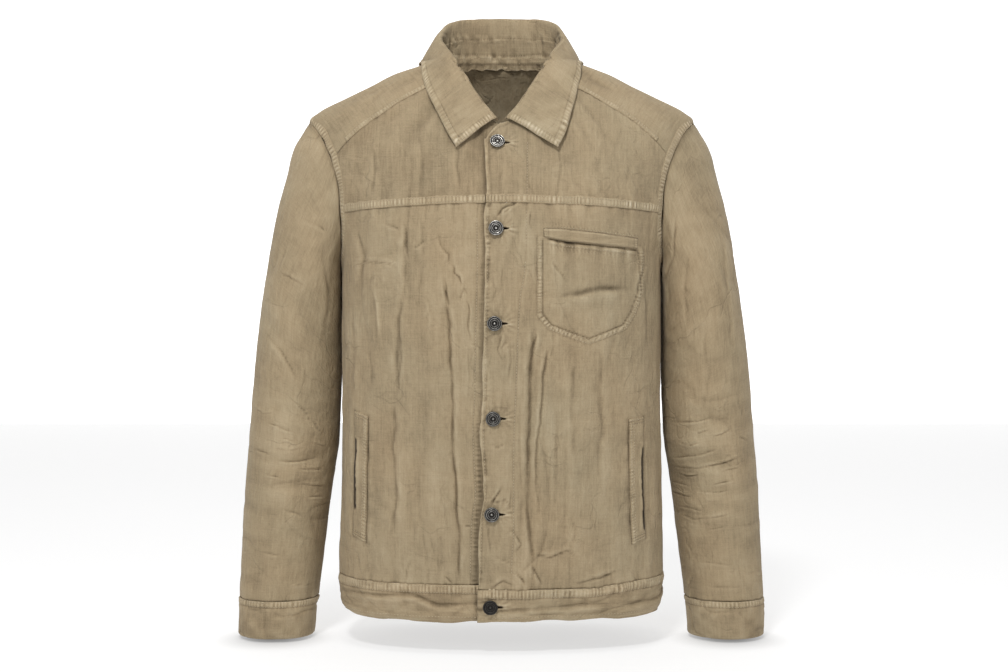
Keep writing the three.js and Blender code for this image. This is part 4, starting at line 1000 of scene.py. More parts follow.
# The same creases for the sleeve's far side, shifted and a little wider
behindCreases = {
    side: [
        (deep, wide + 0.6, ridge, -turned, *(np.reshape(points, (-1, 2)) + (4, 17)).ravel())
        for deep, wide, ridge, turned, *points in rows
    ]
    for side, rows in sleeveCreases.items()
}
sleeveLook = {
    "high": 0.8, "shade": 0.95, "slim": 0.75,  # shares of the listed creases
    "elbow": -480, "elbowReach": 90, "cap": -116, "capReach": 24, "capHigh": 2.6, "long": 480,
}


def bareSleeve(turn, down):
    ax, ay, az = armholeAt(turn)
    tilt = az - armhole["z"]
    top = lerp(armhole["z"], jacket["cuffTop"] + jacket["gap"], down)
    z = top + tilt * np.maximum(0, 1 - down) ** 2.2

    def section(high):
        outer, inner = outerOf(high), innerOf(high)
        across = (outer + inner) / 2 + (outer - inner) / 2 * np.cos(turn)
        return across, middleOf(high) - halfOf(high) * np.sin(turn)

    startX, startY = section(az)
    x, y = section(z)
    hold = 1 - ease((az - z) / 170)
    return np.stack([x + (ax + 0.5 - startX) * hold, y + (ay - startY) * hold, z], -1)


def sleeve(side):
    def place(u, v):
        turn = (1 - u) * 2 * math.pi if side > 0 else u * 2 * math.pi
        down = 1 - v
        around = bareSleeve(turn - 0.01, down) - bareSleeve(turn + 0.01, down)
        low = np.maximum(0, down - 0.004)
        normal = unit(np.cross(around, bareSleeve(turn, low) - bareSleeve(turn, low + 0.008)))
        point = bareSleeve(turn, down)
        z = point[..., 2]
        x = side * point[..., 0]
        rise, tone = np.zeros(z.shape), np.zeros(z.shape)
        for at, reach, level, lean, high, wide in sleeveFolds[side]:
            away = (np.degrees(turn) - at + 180) % 360 - 180
            rise += high * bell(z - level - lean * away, wide) * ease(1 - np.abs(away) / reach)
        for creases, seed, faces in ((sleeveCreases, 700, np.sin(turn)), (behindCreases, 760, -np.sin(turn))):
            shows = ease((faces + 0.1) / 0.4)
            up, shade = creased(x, z, creases[side], seed, sleeveLook["slim"])
            rise += sleeveLook["high"] * shows * up
            tone += sleeveLook["shade"] * shows * shade
        seam = 6.2 * np.cos(turn) + 7 * np.sin(turn)
        warp = 8 * noise(seam * 6, z, 121 + side, 40, 60)
        elbow = bell(z - sleeveLook["elbow"], sleeveLook["elbowReach"])
        flat = np.cos(turn) * 48
        soft = (
            0.8 * noise(flat + warp, z + 20 * np.sin(turn), 122 + side, 18, 70)
            + (0.35 + 0.7 * elbow) * noise(flat, z + warp + 12 * np.sin(turn), 124 + side, 34, 11)
            + 0.32 * noise(flat + 30 * np.sin(turn), z + warp, 126 + side, 7, 15)
        )
        upright = bell(noise(flat + 1.8 * warp, z, 128 + side, 26, 120), 0.08) * (1 - 0.7 * elbow)
        level = bell(noise(flat + warp, z + 1.2 * warp, 130 + side, 60, 19), 0.09) * (0.35 + 0.65 * elbow)
        patchy = ease(1.6 * noise(flat, z, 132 + side, 36, 50) + 0.3)
        rise += soft - 0.9 * patchy * (upright + level)
        # Painted highlight where the rumple rises and painted shade along its lines
        tone += 0.2 * soft - 0.2 * patchy * (upright + level)
        rise *= 1 - 0.55 * bell(np.sin(turn), 0.3)
        cap = bell(z - sleeveLook["cap"], sleeveLook["capReach"])
        rise += sleeveLook["capHigh"] * cap * ease(np.cos(turn) / 0.6)
        fromCuff = z - jacket["cuffTop"]
        fromTop, around_ = down * sleeveLook["long"], turn * 42
        pull = puckers(around_, fromCuff, 131, 10, 0.6) + puckers(around_, fromTop, 133, 9, 0.35)
        pull *= ease(np.minimum(turn, 2 * math.pi - turn) / 0.15)
        calm = ease(down / 0.05)
        lift = (
            rise * calm * ease((1 - down) / 0.02) + pull - 0.8 * (1 - ease(down / 0.012))
            - 1.2 * ease((jacket["cuffTop"] + 1.5 - z) / 2)
        )
        point = point + normal * lift[..., None]
        # Painted highlight over the puckers, and a painted shadow at the armhole seam and over the cuff
        tone = tone + 0.3 * pull - 0.45 * bell(fromTop, 4) - 0.35 * bell(fromCuff, 2)
        if side < 0:
            point, normal = point * [-1, 1, 1], normal * [-1, 1, 1]
        return {"point": point, "normal": normal, "tone": tone}

    us = spaced(300, 2.5)
    vs = spaced(510, 1.9, (0, 12, 1.4), (40, 250, 1.3))
    return cloth(f"sleeve_{sideWord[side]}_cloth", [(us, vs, place)], weld=True)


def cuffAt(side, turn, z, lift=0.0):
    outer, inner, half = outerOf(z), innerOf(z), halfOf(z)
    point = np.stack(
        [
            (outer + inner) / 2 + (outer - inner) / 2 * np.cos(turn), middleOf(z) - half * np.sin(turn),
            z + 0 * turn,
        ],
        -1,
    )
    normal = unit(np.stack([np.cos(turn) * half, -np.sin(turn) * (outer - inner) / 2, 0 * turn], -1))
    point = point + normal * (0.6 + lift)[..., None]
    return point * [side, 1, 1], normal * [side, 1, 1]


def cuffRelief(side, turn, z):
    long = turn * 44
    down = jacket["cuffTop"] - z
    seamless = ease(np.minimum(turn, 2 * math.pi - turn) / 0.12)
    bars = ladder(long, 141 + side, 4.4) * seamless
    rise = 0.7 * bell(down - 3.4, 3.6) * (1 + 0.35 * bars) - 0.45 * bell(down - 7.2, 1.1)
    rise += seamless * (
        0.9 * noise(long, down, 143 + side, 34, 15) + 0.25 * noise(long, down, 145 + side, 8, 8)
        - 1.2 * bell(noise(long, down, 149 + side, 22, 30), 0.1) + puckers(long, down - 7, 147, 8, 0.4)
    )
    inside = np.minimum(z - jacket["cuffEnd"], down)
    # Painted highlight on the raised band and its bars, painted shade at the stitch row and in the crease
    # lines, and paler along the rolled edge
    tone = (
        0.6 * bell(down - 3.4, 3.4) * (0.5 + 0.9 * bars) - 0.45 * bell(down - 7.2, 1)
        + 0.4 * bell(inside, 1.6)
    )
    tone += 0.25 * seamless * noise(long, down, 145 + side, 11, 9)
    tone -= 0.2 * seamless * bell(noise(long, down, 149 + side, 22, 30), 0.08)
    return rise + rolled(inside, 1.2, 2.2), tone


def cuff(side):
    def place(u, v):
        turn = (1 - u) * 2 * math.pi if side > 0 else u * 2 * math.pi
        z = lerp(jacket["cuffEnd"], jacket["cuffTop"], v)
        rise, tone = cuffRelief(side, turn, z)
        point, normal = cuffAt(side, turn, z, rise)
        return {"point": point, "normal": normal, "tone": tone}

    us, vs = spaced(270, 1.2), spaced(45, 1.5, (0, 4, 1.1), (32, 45, 0.95))
    return cloth(f"cuff_{sideWord[side]}_cloth", [(us, vs, place)], thick=2, weld=True)


# The collar, from its seam up to the fold and down to the leaf's edge
collarRows = np.array([
    [0, 0, 68, 65, 0, 83, -7], [30, 37, 64, 64, 47, 76, -6], [60, 65, 40, 55, 83, 51, -4],
    [78, 74, 15, 39, 96, 22, -4],
    [90, 76, -1, 28.5, 98.5, 3, -7], [105, 69, -22, 15, 98, -22, -17], [120, 60, -40.5, 1, 92.5, -50, -34],
    [135, 51, -50, -15, 87.5, -64, -50.5], [150, 36, -66, -40, 78.5, -80, -74],
    [165, 20, -79, -65.5, 69.5, -94, -97.5],
    [180, 3, -92, -86.5, 55, -111, -125],
])
collarAt = [curve(collarRows[:, 0], collarRows[:, k]) for k in range(1, 7)]
collarSize = {"thick": 2.4, "lean": 6.7, "clear": 2.2, "last": 176.5, "drawn": 5.0, "wider": 2.0}


def neckAt(along, side, lifted=True):
    x = jacket["neckHalf"] * np.sin(np.radians(along))
    face = np.where(np.cos(np.radians(along)) > 0, -1, 1)
    z = np.where(face > 0, neckLine(x), jacket["neckRise"] * (1 - (x / jacket["neckHalf"]) ** 2))
    turn = turnAt(x, z, face)
    lift = np.where((face > 0) & (side > 0), liftAt(x), 0) if lifted else 0 * x
    return bare(turn, z) + bareNormal(turn, z) * lift[..., None]


def levelOf(p):
    square = squareOf(p[..., 2])
    across = np.abs(p[..., 0]) / sideOf(p[..., 2])
    deep = np.abs(p[..., 1]) / depthOf(p[..., 2], -p[..., 1])
    return (across ** square + deep ** square) ** (1 / square)


def clearOf(point, distance):
    for _ in range(8):
        slope = np.stack([(levelOf(point + a) - levelOf(point - a)) / 0.4 for a in np.eye(3) * 0.2], -1)
        size = np.linalg.norm(slope, axis=-1)
        away = (levelOf(point) - 1) / size
        push = np.where(away > distance - 0.01, 0, distance - away)
        point = point + slope / size[..., None] * push[..., None]
    return point


def hermite(a, b, pullA, pullB, t):
    t = t[..., None]
    return (
        a * (1 + 2 * t) * (1 - t) ** 2 + pullA * t * (1 - t) ** 2 + b * t * t * (3 - 2 * t)
        + pullB * t * t * (t - 1)
    )


# The collar's hidden face. Along is degrees round the neck from centre back. Way is 0 at the seam, 1 at the
# fold and 2 at the edge.
def collarPoint(along, side, way):
    seam = neckAt(along, side)
    run = unit(neckAt(along + 1, side, False) - neckAt(along - 1, side, False))
    foldX, foldY, foldZ, edgeX, edgeY, edgeZ = (read(along) for read in collarAt)
    lean = side * collarSize["lean"] * ease((along - 120) / 60)
    edge = np.stack([edgeX + lean, edgeY, edgeZ], -1)
    over = unit(edge - seam)
    fold = np.stack([foldX, foldY, foldZ], -1) - collarSize["thick"] * unit(np.cross(run, over))
    fold[..., 1] -= liftAt(fold[..., 0]) * ease((along - 110) / 30)
    rising = unit(fold - seam)
    base = seam + rising * 1.5 + unit(np.cross(rising, run)) * 0.25 * collarSize["thick"]
    stand, leaf = fold - base, edge - fold
    pull = lambda v: over * (2.4 * np.sqrt(np.linalg.norm(v, axis=-1)))[..., None]
    inner = hermite(base, fold, stand * 1.1, pull(stand), np.clip(way, 0, 1))
    outer = hermite(fold, edge, pull(leaf), leaf, np.clip(way - 1, 0, 1))
    outer = clearOf(outer, lerp(-2, collarSize["clear"], ease((way - 1) / 0.15)) + liftAt(outer[..., 0]))
    point = np.where((way <= 1)[..., None], inner, outer)
    return point * np.stack([side, 1 + 0 * side, 1 + 0 * side], -1)


def collarFrame(turn, way):
    side, along = np.where(turn < 0, -1, 1), np.abs(turn)
    low = np.clip(along - 0.5, 0, 178)
    point = collarPoint(along, side, way)
    around = (collarPoint(low + 1, side, way) - collarPoint(low, side, way)) * side[..., None]
    around[along < 0.01] = [1, 0, 0]
    start = np.clip(way - 0.02, 0, 1.96)
    normal = unit(np.cross(around, collarPoint(along, side, start + 0.04) - collarPoint(along, side, start)))
    return point + normal * collarSize["thick"], normal


# Distances of a sheet's points from its left, right and upper edges, measured along the sheet.
def insideOf(point):
    across = np.linalg.norm(np.diff(point, axis=0), axis=-1)
    upward = np.linalg.norm(np.diff(point, axis=1), axis=-1)
    left = np.concatenate([np.zeros((1, point.shape[1])), np.cumsum(across, axis=0)])
    low = np.concatenate([np.zeros((point.shape[0], 1)), np.cumsum(upward, axis=1)], axis=1)
    return left, left[-1:] - left, low, low[:, -1:] - low


def collarPlace(u, v):
    turn = lerp(-collarSize["last"], collarSize["last"], u)
    way = 2 * v
    point, normal = collarFrame(turn, way)
    left, right, low, top = insideOf(point)
    leaf = ease((way - 1.02) / 0.12)
    ends = np.minimum(left, right)
    edge = np.minimum(top, ends)
    byTop = top < ends
    along = np.where(byTop, u * 505, low + 700)
    bars = ladder(along, 151, 4.2)
    patchy = 0.75 + 0.5 * drift(along, 152, 17)
    body = bell(edge - 4.6, 4.3) * patchy
    rise = leaf * (0.4 * body * (1 + 0.75 * bars) - 0.4 * bell(edge - 9, 1.1) + rolled(edge, 1.2, 2.0))
    # Painted highlight on the raised band along the leaf's edge and its bars, painted shade at its inner
    # stitch row, and paler along the edge
    tone = leaf * (0.85 * body * (0.5 + 0.95 * bars) - 0.35 * bell(edge - 9, 1.0) + 0.3 * bell(edge, 1.1))
    soft = 0.8 * noise(left, low, 153, 26, 34) + 0.4 * noise(left, low, 154, 10, 16)
    slant = noise(left + 0.8 * low, low - 0.8 * left, 156, 60, 13)
    flatter = ease((way - 1.12) / 0.25)
    soft = soft * (0.35 + 0.65 * np.maximum(flatter, 1 - leaf)) + flatter * 0.5 * slant
    soft += leaf * puckers(along, edge - 8.5, 155, 8, 0.45)
    rise += soft * ease(edge / 3)
    # Painted highlight where the soft relief rises
    tone += 0.25 * soft
    stand = 1 - ease((way - 0.9) / 0.1)
    wave = 1.1 * drift(left, 157, 19)
    half = low - 0.52 * low[:, way[0] <= 1][:, -1:] + wave
    rough = noise(left, low * 0.5, 158, 6, 12) + 0.6 * noise(left, low, 159, 3.4, 7)
    rough *= ease((100 - np.abs(turn)) / 24)
    rise += stand * (
        1.6 * rough * (bell(low - 6, 9) + 0.8 * bell(half, 7))
        - 0.5 * bell(half, 1.0) + 0.5 * bell(half + 3, 2)
    )
    # Painted highlight on the stand's puckers and painted shade along the stitched line across it
    tone += stand * (
        0.5 * rough * (bell(low - 6, 9) + 0.8 * bell(half, 7))
        - 0.5 * bell(half, 1.0) * (0.7 + 0.7 * ladder(left, 160, 3.4))
    )
    rise += stand * (-0.4 * bell(low - 12 - wave, 1.0) + 0.4 * bell(low - 9 - wave, 1.6))
    # Painted shade along a second stitched line, painted highlight beside it, and the whole stand a little
    # darker, painted shade
    tone += stand * (
        -0.45 * bell(low - 12 - wave, 1.0) * (0.7 + 0.7 * ladder(left, 157, 3.2))
        + 0.3 * bell(low - 9 - wave, 1.6) - 0.08
    )
    corner = np.abs(turn) - 70 - 26 * (way - 0.6)
    turned = stand * bell(way - 0.72, 0.22) * ease((104 - np.abs(turn)) / 14)
    rise -= turned * (1.0 * bell(corner, 2.4) + 0.6 * bell(corner - 9, 2.0))
    # Painted shade in the creases at the stand's turned corners
    tone -= turned * (0.5 * bell(corner, 2.0) + 0.3 * bell(corner - 9, 1.6))
    rise -= 2.2 * leaf * bell(top, 8) * bell(np.abs(turn) - 121, 17)
    rise -= 0.25 * bell(way - 1.0, 0.02)
    tone += 0.2 * bell(way - 1.0, 0.03)
    point = point + normal * rise[..., None]
    drawn = collarSize["drawn"] * ease((way - 1.6) / 0.35) * bell(np.abs(turn) - 107, 7)
    wider = collarSize["wider"] * (turn < 0) * leaf * bell(np.abs(turn) - 86, 12)  # a little uneven
    point = point + np.stack([np.sign(turn) * (wider - drawn), 0 * turn, 0.45 * drawn], -1)
    return {"point": point, "normal": normal, "tone": tone}


def collar():
    us = spaced(470, 1.5, (0, 92, 0.8), (378, 470, 0.8))
    vs = spaced(122, 1.45, (106, 122, 1.1))
    return cloth("collar_cloth", [(us, vs, collarPlace)], thick=2.1)


# Raised bands of turned-in allowance along a seam, with the stitching's ladder pressed into them. Their tone
# is painted: highlight on the raised band and its bars, shade in the stitch rows and a shadow along the edge
# where the band meets the panel.
bandShape = {"wide": 10.5, "high": 1.2, "firstRow": 1.7, "secondRow": 7.6}


class Band:
    def __init__(self, turn, z, inward, lift, seed, wide=None, bars=1.0):
        point = bare(turn, z)
        run = np.append(0, np.cumsum(np.linalg.norm(np.diff(point, axis=0), axis=1)))
        self.long, self.lift, self.seed = run[-1], lift, seed
        self.wide, self.bars = wide or bandShape["wide"], bars
        self.secondRow = min(bandShape["secondRow"], self.wide - 2.6)
        self.read = [lambda s, k=k: np.interp(s, run, point[:, k]) for k in range(3)]
        self.inward = inward

    def place(self, u, v):
        along, across = u * self.long, lerp(-0.9, self.wide, v)
        at = lambda s: np.stack([read(s) for read in self.read], -1)
        base = at(along)
        ahead = unit(at(np.minimum(along + 2, self.long)) - at(np.maximum(along - 2, 0)))
        turn = np.arctan2(base[..., 0], -base[..., 1])
        aside = unit(np.cross(bareNormal(turn, base[..., 2]), ahead)) * self.inward
        moved = base + aside * across[..., None]
        turn, z = np.arctan2(moved[..., 0], -moved[..., 1]), moved[..., 2]
        bars = self.bars * ladder(along, self.seed)
        body = ease((across + 0.9) / 1.5) * (1 - ease((across - self.wide + 2.6) / 2.4))
        middle = bell(across - self.wide * 0.45, self.wide * 0.36)
        rows = bell(across - bandShape["firstRow"], 0.7) + bell(across - self.secondRow, 0.7)
        patchy = 0.7 + 0.5 * drift(along, self.seed + 7, 13)
        tip = 1 - 0.9 * bell(z - armhole["z"] - armhole["high"], 9) * (np.abs(moved[..., 0]) > 200)
        high = bandShape["high"] * body * tip - 0.45 + 0.42 * bars * middle * patchy - 0.25 * rows * body
        point, normal, tone = onTorso(turn, z, high + self.lift(moved[..., 0]))
        tone = 0.6 * tone + body * (0.5 * patchy + 0.75 * bars * middle * patchy - 0.35 * rows)
        tone = tone - 0.7 * (1 - ease((across + 0.9) / 1.5))
        return {"point": point, "normal": normal, "tone": tone}

    def patch(self):
        return spaced(self.long, 1.15), spaced(self.wide + 0.9, 0.95), self.place

    def sew(self):
        us = np.linspace(0.002, 0.998, max(12, int(self.long / 3)))
        for across in (bandShape["firstRow"], self.secondRow):
            v = np.full(us.shape, (across + 0.9) / (self.wide + 0.9))
            made = self.place(us, v)
            stitch(made["point"], made["normal"])


flush = lambda x: 0 * x
bands = {}
for side in (1, -1):
    word = sideWord[side]
    lift = liftAt if side > 0 else flush
    angle = np.linspace(0, 2 * math.pi, 500)
    x, y, z = armholeAt(angle)
    turn = side * np.arctan2(x, -y)
    bands[f"armhole_{word}"] = Band(turn, z, -side, flush, 161 + side)
    ax = np.linspace(
        side * (frontEdge(-183) + (0 if side > 0 else 8)),
        side * bare(armEdge(np.array(-190.0), 1), -190.0)[0] * 0.995, 200,
    )
    if side < 0:
        ax = np.linspace(
            frontEdge(-183) - 1, -abs(bare(armEdge(np.array(-190.0), 1), -190.0)[0]) * 0.995, 200,
        )
    bands[f"chest_{word}"] = Band(turnAt(ax, chestSeam(ax), 1), chestSeam(ax), side, lift, 165 + side)
    sx = np.linspace(60, 182, 160)
    sz = yokeSeam(sx)
    bands[f"shoulder_{word}"] = Band(side * turnAt(sx, sz, 1), sz, side, flush, 169 + side, wide=7, bars=0.5)
    sz = np.linspace(armpit, jacket["bandTop"], 160)
    bands[f"side_{word}"] = Band(side * (math.pi / 2 + 0 * sz), sz, side, flush, 173 + side)
edgeTurn = float(armEdge(np.array(float(jacket["backSeam"])), -1))
bt = np.linspace(edgeTurn, 2 * math.pi - edgeTurn, 300)
bands["back"] = Band(bt, jacket["backSeam"] + 0 * bt, 1, flush, 177)
print("seam bands measured")


def buttonPlace(i):
    z = buttons["z"][i]
    x = buttonX(z)
    lift = 0.6 + float(liftAt(x)) * 1.15 if i == 5 else float(liftAt(x))
    turn = turnAt(np.array(float(x)), np.array(float(z)), 1)
    normal = bareNormal(turn, np.array(float(z)))
    return Vector(bare(turn, float(z)) + normal * lift), Vector(normal)


# A dark gunmetal button, spun from its profile: radius, height and how worn each ring is
buttonProfile = [
    (0.0, -4.0, 0.1), (1.5, -4.0, 0.1), (1.5, 0.9, 0.1), (5.2, 0.95, 0.1), (7.3, 1.1, 0.15), (8.3, 1.6, 0.2),
    (8.6, 2.4, 0.35), (8.45, 3.1, 0.6), (8.0, 3.55, 0.75), (7.5, 3.5, 0.5), (7.1, 2.95, 0.12),
    (6.7, 2.55, 0.02),
    (6.35, 2.6, 0.1), (6.05, 3.05, 0.75), (5.7, 3.2, 0.9), (5.35, 3.0, 0.4), (5.05, 2.5, 0.02),
    (4.6, 2.35, 0.02),
    (4.25, 2.5, 0.2), (3.95, 2.85, 0.6), (3.6, 2.9, 0.6), (3.3, 2.6, 0.1), (2.9, 2.2, 0.0), (2.3, 2.1, 0.0),
    (1.8, 2.15, 0.02), (1.35, 2.4, 0.1), (1.05, 2.85, 0.7), (0.6, 3.15, 1.0), (0.0, 3.25, 1.0),
]
buttonWear = [1.0, 1.0, 0.65, 0.6, 0.65, 0.2]  # the upper ones are rubbed paler


def button(i):
    place, normal = buttonPlace(i)
    shell = bmesh.new()
    ring = [shell.verts.new((r, 0, h)) for r, h, _ in buttonProfile]
    edges = [shell.edges.new(pair) for pair in zip(ring[:-1], ring[1:])]
    bmesh.ops.spin(
        shell, geom=ring + edges, cent=(0, 0, 0), axis=(0, 0, 1), angle=2 * math.pi, steps=48, use_merge=True,
    )
    bmesh.ops.remove_doubles(shell, verts=shell.verts, dist=0.005)
    bmesh.ops.recalc_face_normals(shell, faces=shell.faces)
    across = Vector((0, 0, 1)).cross(normal).normalized()
    up = normal.cross(across)
    turned = Matrix((across, up, normal)).transposed().to_4x4()
    radii = np.array([vert.co.xy.length for vert in shell.verts])
    raised = np.array([vert.co.z > 1.5 for vert in shell.verts])
    bmesh.ops.transform(
        shell, verts=shell.verts, matrix=Matrix.Scale(mm, 4) @ Matrix.Translation(place) @ turned,
    )
    mesh = meshFrom(shell, f"button_{i + 1}_metal")
    face = np.array([row for row in buttonProfile if row[1] > 1.5])[::-1]
    worn = np.interp(radii, face[:, 0], face[:, 2]) * raised * buttonWear[i]
    mesh.attributes.new("worn", "FLOAT", "POINT").data.foreach_set("value", worn)
    smoothed(mesh)
    return settle(placed(mesh.name, mesh), [f"button_{i + 1}"])


# Welts: strips turned over the pocket mouths, a little proud of the front
weltShape = {"high": 1.7, "edge": 1.3}


def sidePlace(side):
    lines = {name: np.array(points, float) for name, points in sidePocket[side].items()}

    def at(name, share):
        points = lines[name]
        z = lerp(points[0, 1], points[-1, 1], share)
        order = np.argsort(points[:, 1])
        return np.interp(z, points[order, 1], points[order, 0]), z

    def place(u, v):
        outX, outZ = at("outer", u)
        inX, inZ = at("inner", u)
        x, z = lerp(outX, inX, v), lerp(outZ, inZ, v)
        across, along = np.abs(inX - outX) * v, u * 148
        ends = np.minimum(along, 148 - along)
        inside = np.minimum(np.minimum(across, np.abs(inX - outX) - across), ends)
        slitLow, slitHigh = lines["slit"][-1, 1], lines["slit"][0, 1]
        open_ = ease((z - slitLow) / 6) * ease((slitHigh - z) / 6)
        wave = drift(z, 191 + side, 21)
        bars = ladder(along, 193 + side, 3.7)
        inner = np.abs(inX - outX) - across
        slit = bell(across - 2.6 - 0.7 * wave, 0.9 + 0.5 * open_)
        rise = weltShape["high"] * ease((inside + 0.2) / weltShape["edge"]) - 0.5 - 0.8 * open_ * slit
        rise += 0.4 * bell(inner - 3.2, 1.8) * bars + 0.5 * noise(across, z, 195 + side, 9, 26)
        rise += -0.45 * (bell(ends - 3, 0.9) + bell(ends - 7, 0.9)) + 0.5 * open_ * bell(across - 5.5, 1.8)
        # Painted shade in the open slit, along both long edges and in the stitch lines across the ends;
        # painted highlight on the stitched bars, the ends and the lip beside the slit
        tone = 0.35 * bell(inner - 3.2, 1.9) * (0.7 + bars) - 2.1 * open_ * slit - 0.9 * bell(inner, 1.1)
        tone += (
            0.35 * bell(ends - 1.6, 1.0) - 0.5 * (bell(ends - 3.4, 0.7) + bell(ends - 7, 0.7))
            - 0.6 * bell(ends, 0.9)
        )
        tone += (
            0.3 * open_ * bell(across - 5.5, 1.6) - 0.8 * bell(across, 1.1)
            + 0.2 * noise(across, z, 196 + side, 9, 26)
        )
        turn = turnAt(x, z, 1)
        made = lowerSurface(side, turn, z)
        point = made["point"] + made["normal"] * rise[..., None]
        return {
            "point": point, "normal": made["normal"], "tone": 0.4 * made["tone"] + tone, "uv": cutAt(turn, z),
        }

    return place


def chestPlace(u, v):
    x = lerp(pocket["weltFrom"], pocket["weltTo"], u)
    top, low = pocket["weltTop"](x), pocket["weltLow"](x) + 0.4 - 0.9 * bell(x - 74, 16)
    z = lerp(top, low, v)
    down, ends = top - z, np.minimum(x - pocket["weltFrom"], pocket["weltTo"] - x)
    inside = np.minimum(np.minimum(down, z - low), ends)
    bars = ladder(x, 197, 3.6)
    rise = 1.5 * ease((inside + 0.2) / 1.5) - 0.5 + 0.35 * bars * bell(down - 4.5, 3.4) * drift(x, 198, 12)
    rise += 0.5 * bell(z - low - 2.2, 1.6) - 0.35 * bell(down - 1.9, 0.8) + 0.35 * noise(x, z, 199, 16, 6)
    # Painted shade along the welt's upper edge and at its ends, paler just below that edge and along the
    # lower lip, with stitched bars at the ends
    tone = -0.95 * bell(down, 0.9) + 0.35 * bell(down - 1.8, 1.1) + 0.3 * bell(z - low - 1.4, 1.2)
    tone += (
        0.3 * bell(ends - 2.5, 1.6) * ladder(z, 200, 2.6) - 0.4 * bell(ends - 5.4, 0.8)
        - 1.0 * bell(ends, 0.8)
    )
    turn = turnAt(x, z, 1)
    made = lowerSurface(1, turn, z)
    point = made["point"] + made["normal"] * (rise + 0.6 * (1 - ease(-(z - low - 2) / 2)))[..., None]
    return {
        "point": point, "normal": made["normal"], "tone": 0.3 * np.maximum(made["tone"], -0.6) + tone,
        "uv": cutAt(turn, z)[..., ::-1],
    }


def bagPlace(u, v):
    outline = np.array(pocket["bag"][1:-1])
    x = lerp(49.5, 158, u)
    low = np.interp(x, outline[:, 0], outline[:, 1])
    z = lerp(low + 1.5, lerp(-228, -238, u), v)
    turn = turnAt(x, z, 1)
    point, normal, tone = onTorso(turn, z, -4.4 + 0 * z, relief=False)
    return {"point": point, "normal": normal, "tone": tone}


# The gathered facing inside the back of the neck, over the seam of collar and yoke
def facingPlace(u, v):
    turn = lerp(-74, 74, u)
    along = u * 128
    upper, inwards = collarFrame(turn, 0 * turn + 0.12)
    middle, _ = collarFrame(turn, 0 * turn)
    seam = neckAt(np.abs(turn), np.where(turn < 0, -1, 1))
    low = 3.4 + 1.7 * drift(along, 203, 4) + 1.2 * drift(along, 206, 17)
    x = seam[..., 0] * 1.07 * np.where(turn < 0, -1, 1)
    zLow = seam[..., 2] - low
    backTurn = turnAt(x, zLow, -1)
    lower = bare(backTurn, zLow) - bareNormal(backTurn, zLow) * 4.2
    top, knee = upper + inwards * 0.5, middle + inwards * 1.3 - [0, 0, 1.5]
    w = v[..., None]
    point = top * (1 - w) ** 2 + knee * 2 * w * (1 - w) + lower * w * w
    gather = 1.2 * noise(along, v * 6, 204, 2.3, 6) + 0.8 * noise(along, v * 6, 205, 5.3, 9)
    rise = 0.7 * gather * ease(v / 0.4) + 0.3 * bell(v - 0.35, 0.1)
    # Painted highlight on the gathers and painted shade at the fold across the middle; lighter towards the
    # low edge and a little darker overall
    tone = 0.35 * gather * ease(v / 0.3) - 0.5 * bell(v - 0.45, 0.12) + 0.7 * ease((v - 0.7) / 0.3) - 0.1
    return {"point": point + inwards * rise[..., None], "normal": inwards, "tone": tone}


linenPieces = {}
for side in (1, -1):
    word = sideWord[side]
    linenPieces[f"lower_{word}"] = settle(lowerFront(side), [f"front_lower_{word}"])
    linenPieces[f"upper_{word}"] = settle(upperFront(side), [f"front_upper_{word}"])
    linenPieces[f"sleeve_{word}"] = settle(sleeve(side), [f"sleeve_{word}"])
    linenPieces[f"cuff_{word}"] = settle(cuff(side), [f"cuff_{word}"])
    print("front, sleeve and cuff:", word)
linenPieces["back"] = settle(backPanel(), ["back_panel"])
linenPieces["yoke"] = settle(yokeCloth(), ["yoke"])
linenPieces["band"] = settle(waistband(), ["waistband"])
linenPieces["collar"] = settle(collar(), ["collar_stand", "collar_fall"])
for side in (1, -1):
    word = sideWord[side]
    welt = cloth(f"side_welt_{word}_cloth", [(spaced(148, 1.0), spaced(20, 0.8), sidePlace(side))], thick=0.6)
    linenPieces[f"welt_{word}"] = settle(welt, [f"side_welt_{word}"])
chestWelt = cloth("chest_welt_cloth", [(spaced(111, 0.9), spaced(13, 0.75), chestPlace)], thick=0.9)
linenPieces["welt_chest"] = settle(chestWelt, ["chest_welt"])
bag = cloth("pocket_bag_cloth", [(spaced(110, 3), spaced(110, 3), bagPlace)], thick=0.8)
linenPieces["bag"] = settle(bag, ["chest_pocket_bag"])
linenPieces["facing"] = settle(
    cloth("neck_facing", [(spaced(128, 0.9), spaced(14, 0.9), facingPlace)], thick=0.7), [],
)
for name, band in bands.items():
    linenPieces["seam_" + name] = settle(cloth(f"seam_{name}", [band.patch()], thick=0.9), [])
    band.sew()
print("body, collar and seams made")
metalPieces = [button(i) for i in range(6)]

# Rows of stitches on the fronts, the band, the cuffs, the welts and the collar
def sewFront(side, x, z, surface=lowerSurface, **size):
    made = surface(side, turnAt(x, z, 1), z)
    stitch(made["point"], made["normal"], **size)


def besidePath(points, away, steps=150):
    x, z = frontPath(points, steps)
    ahead = unit(np.stack([np.gradient(x), np.gradient(z)], -1))
    return x + away * ahead[:, 1], z - away * ahead[:, 0]


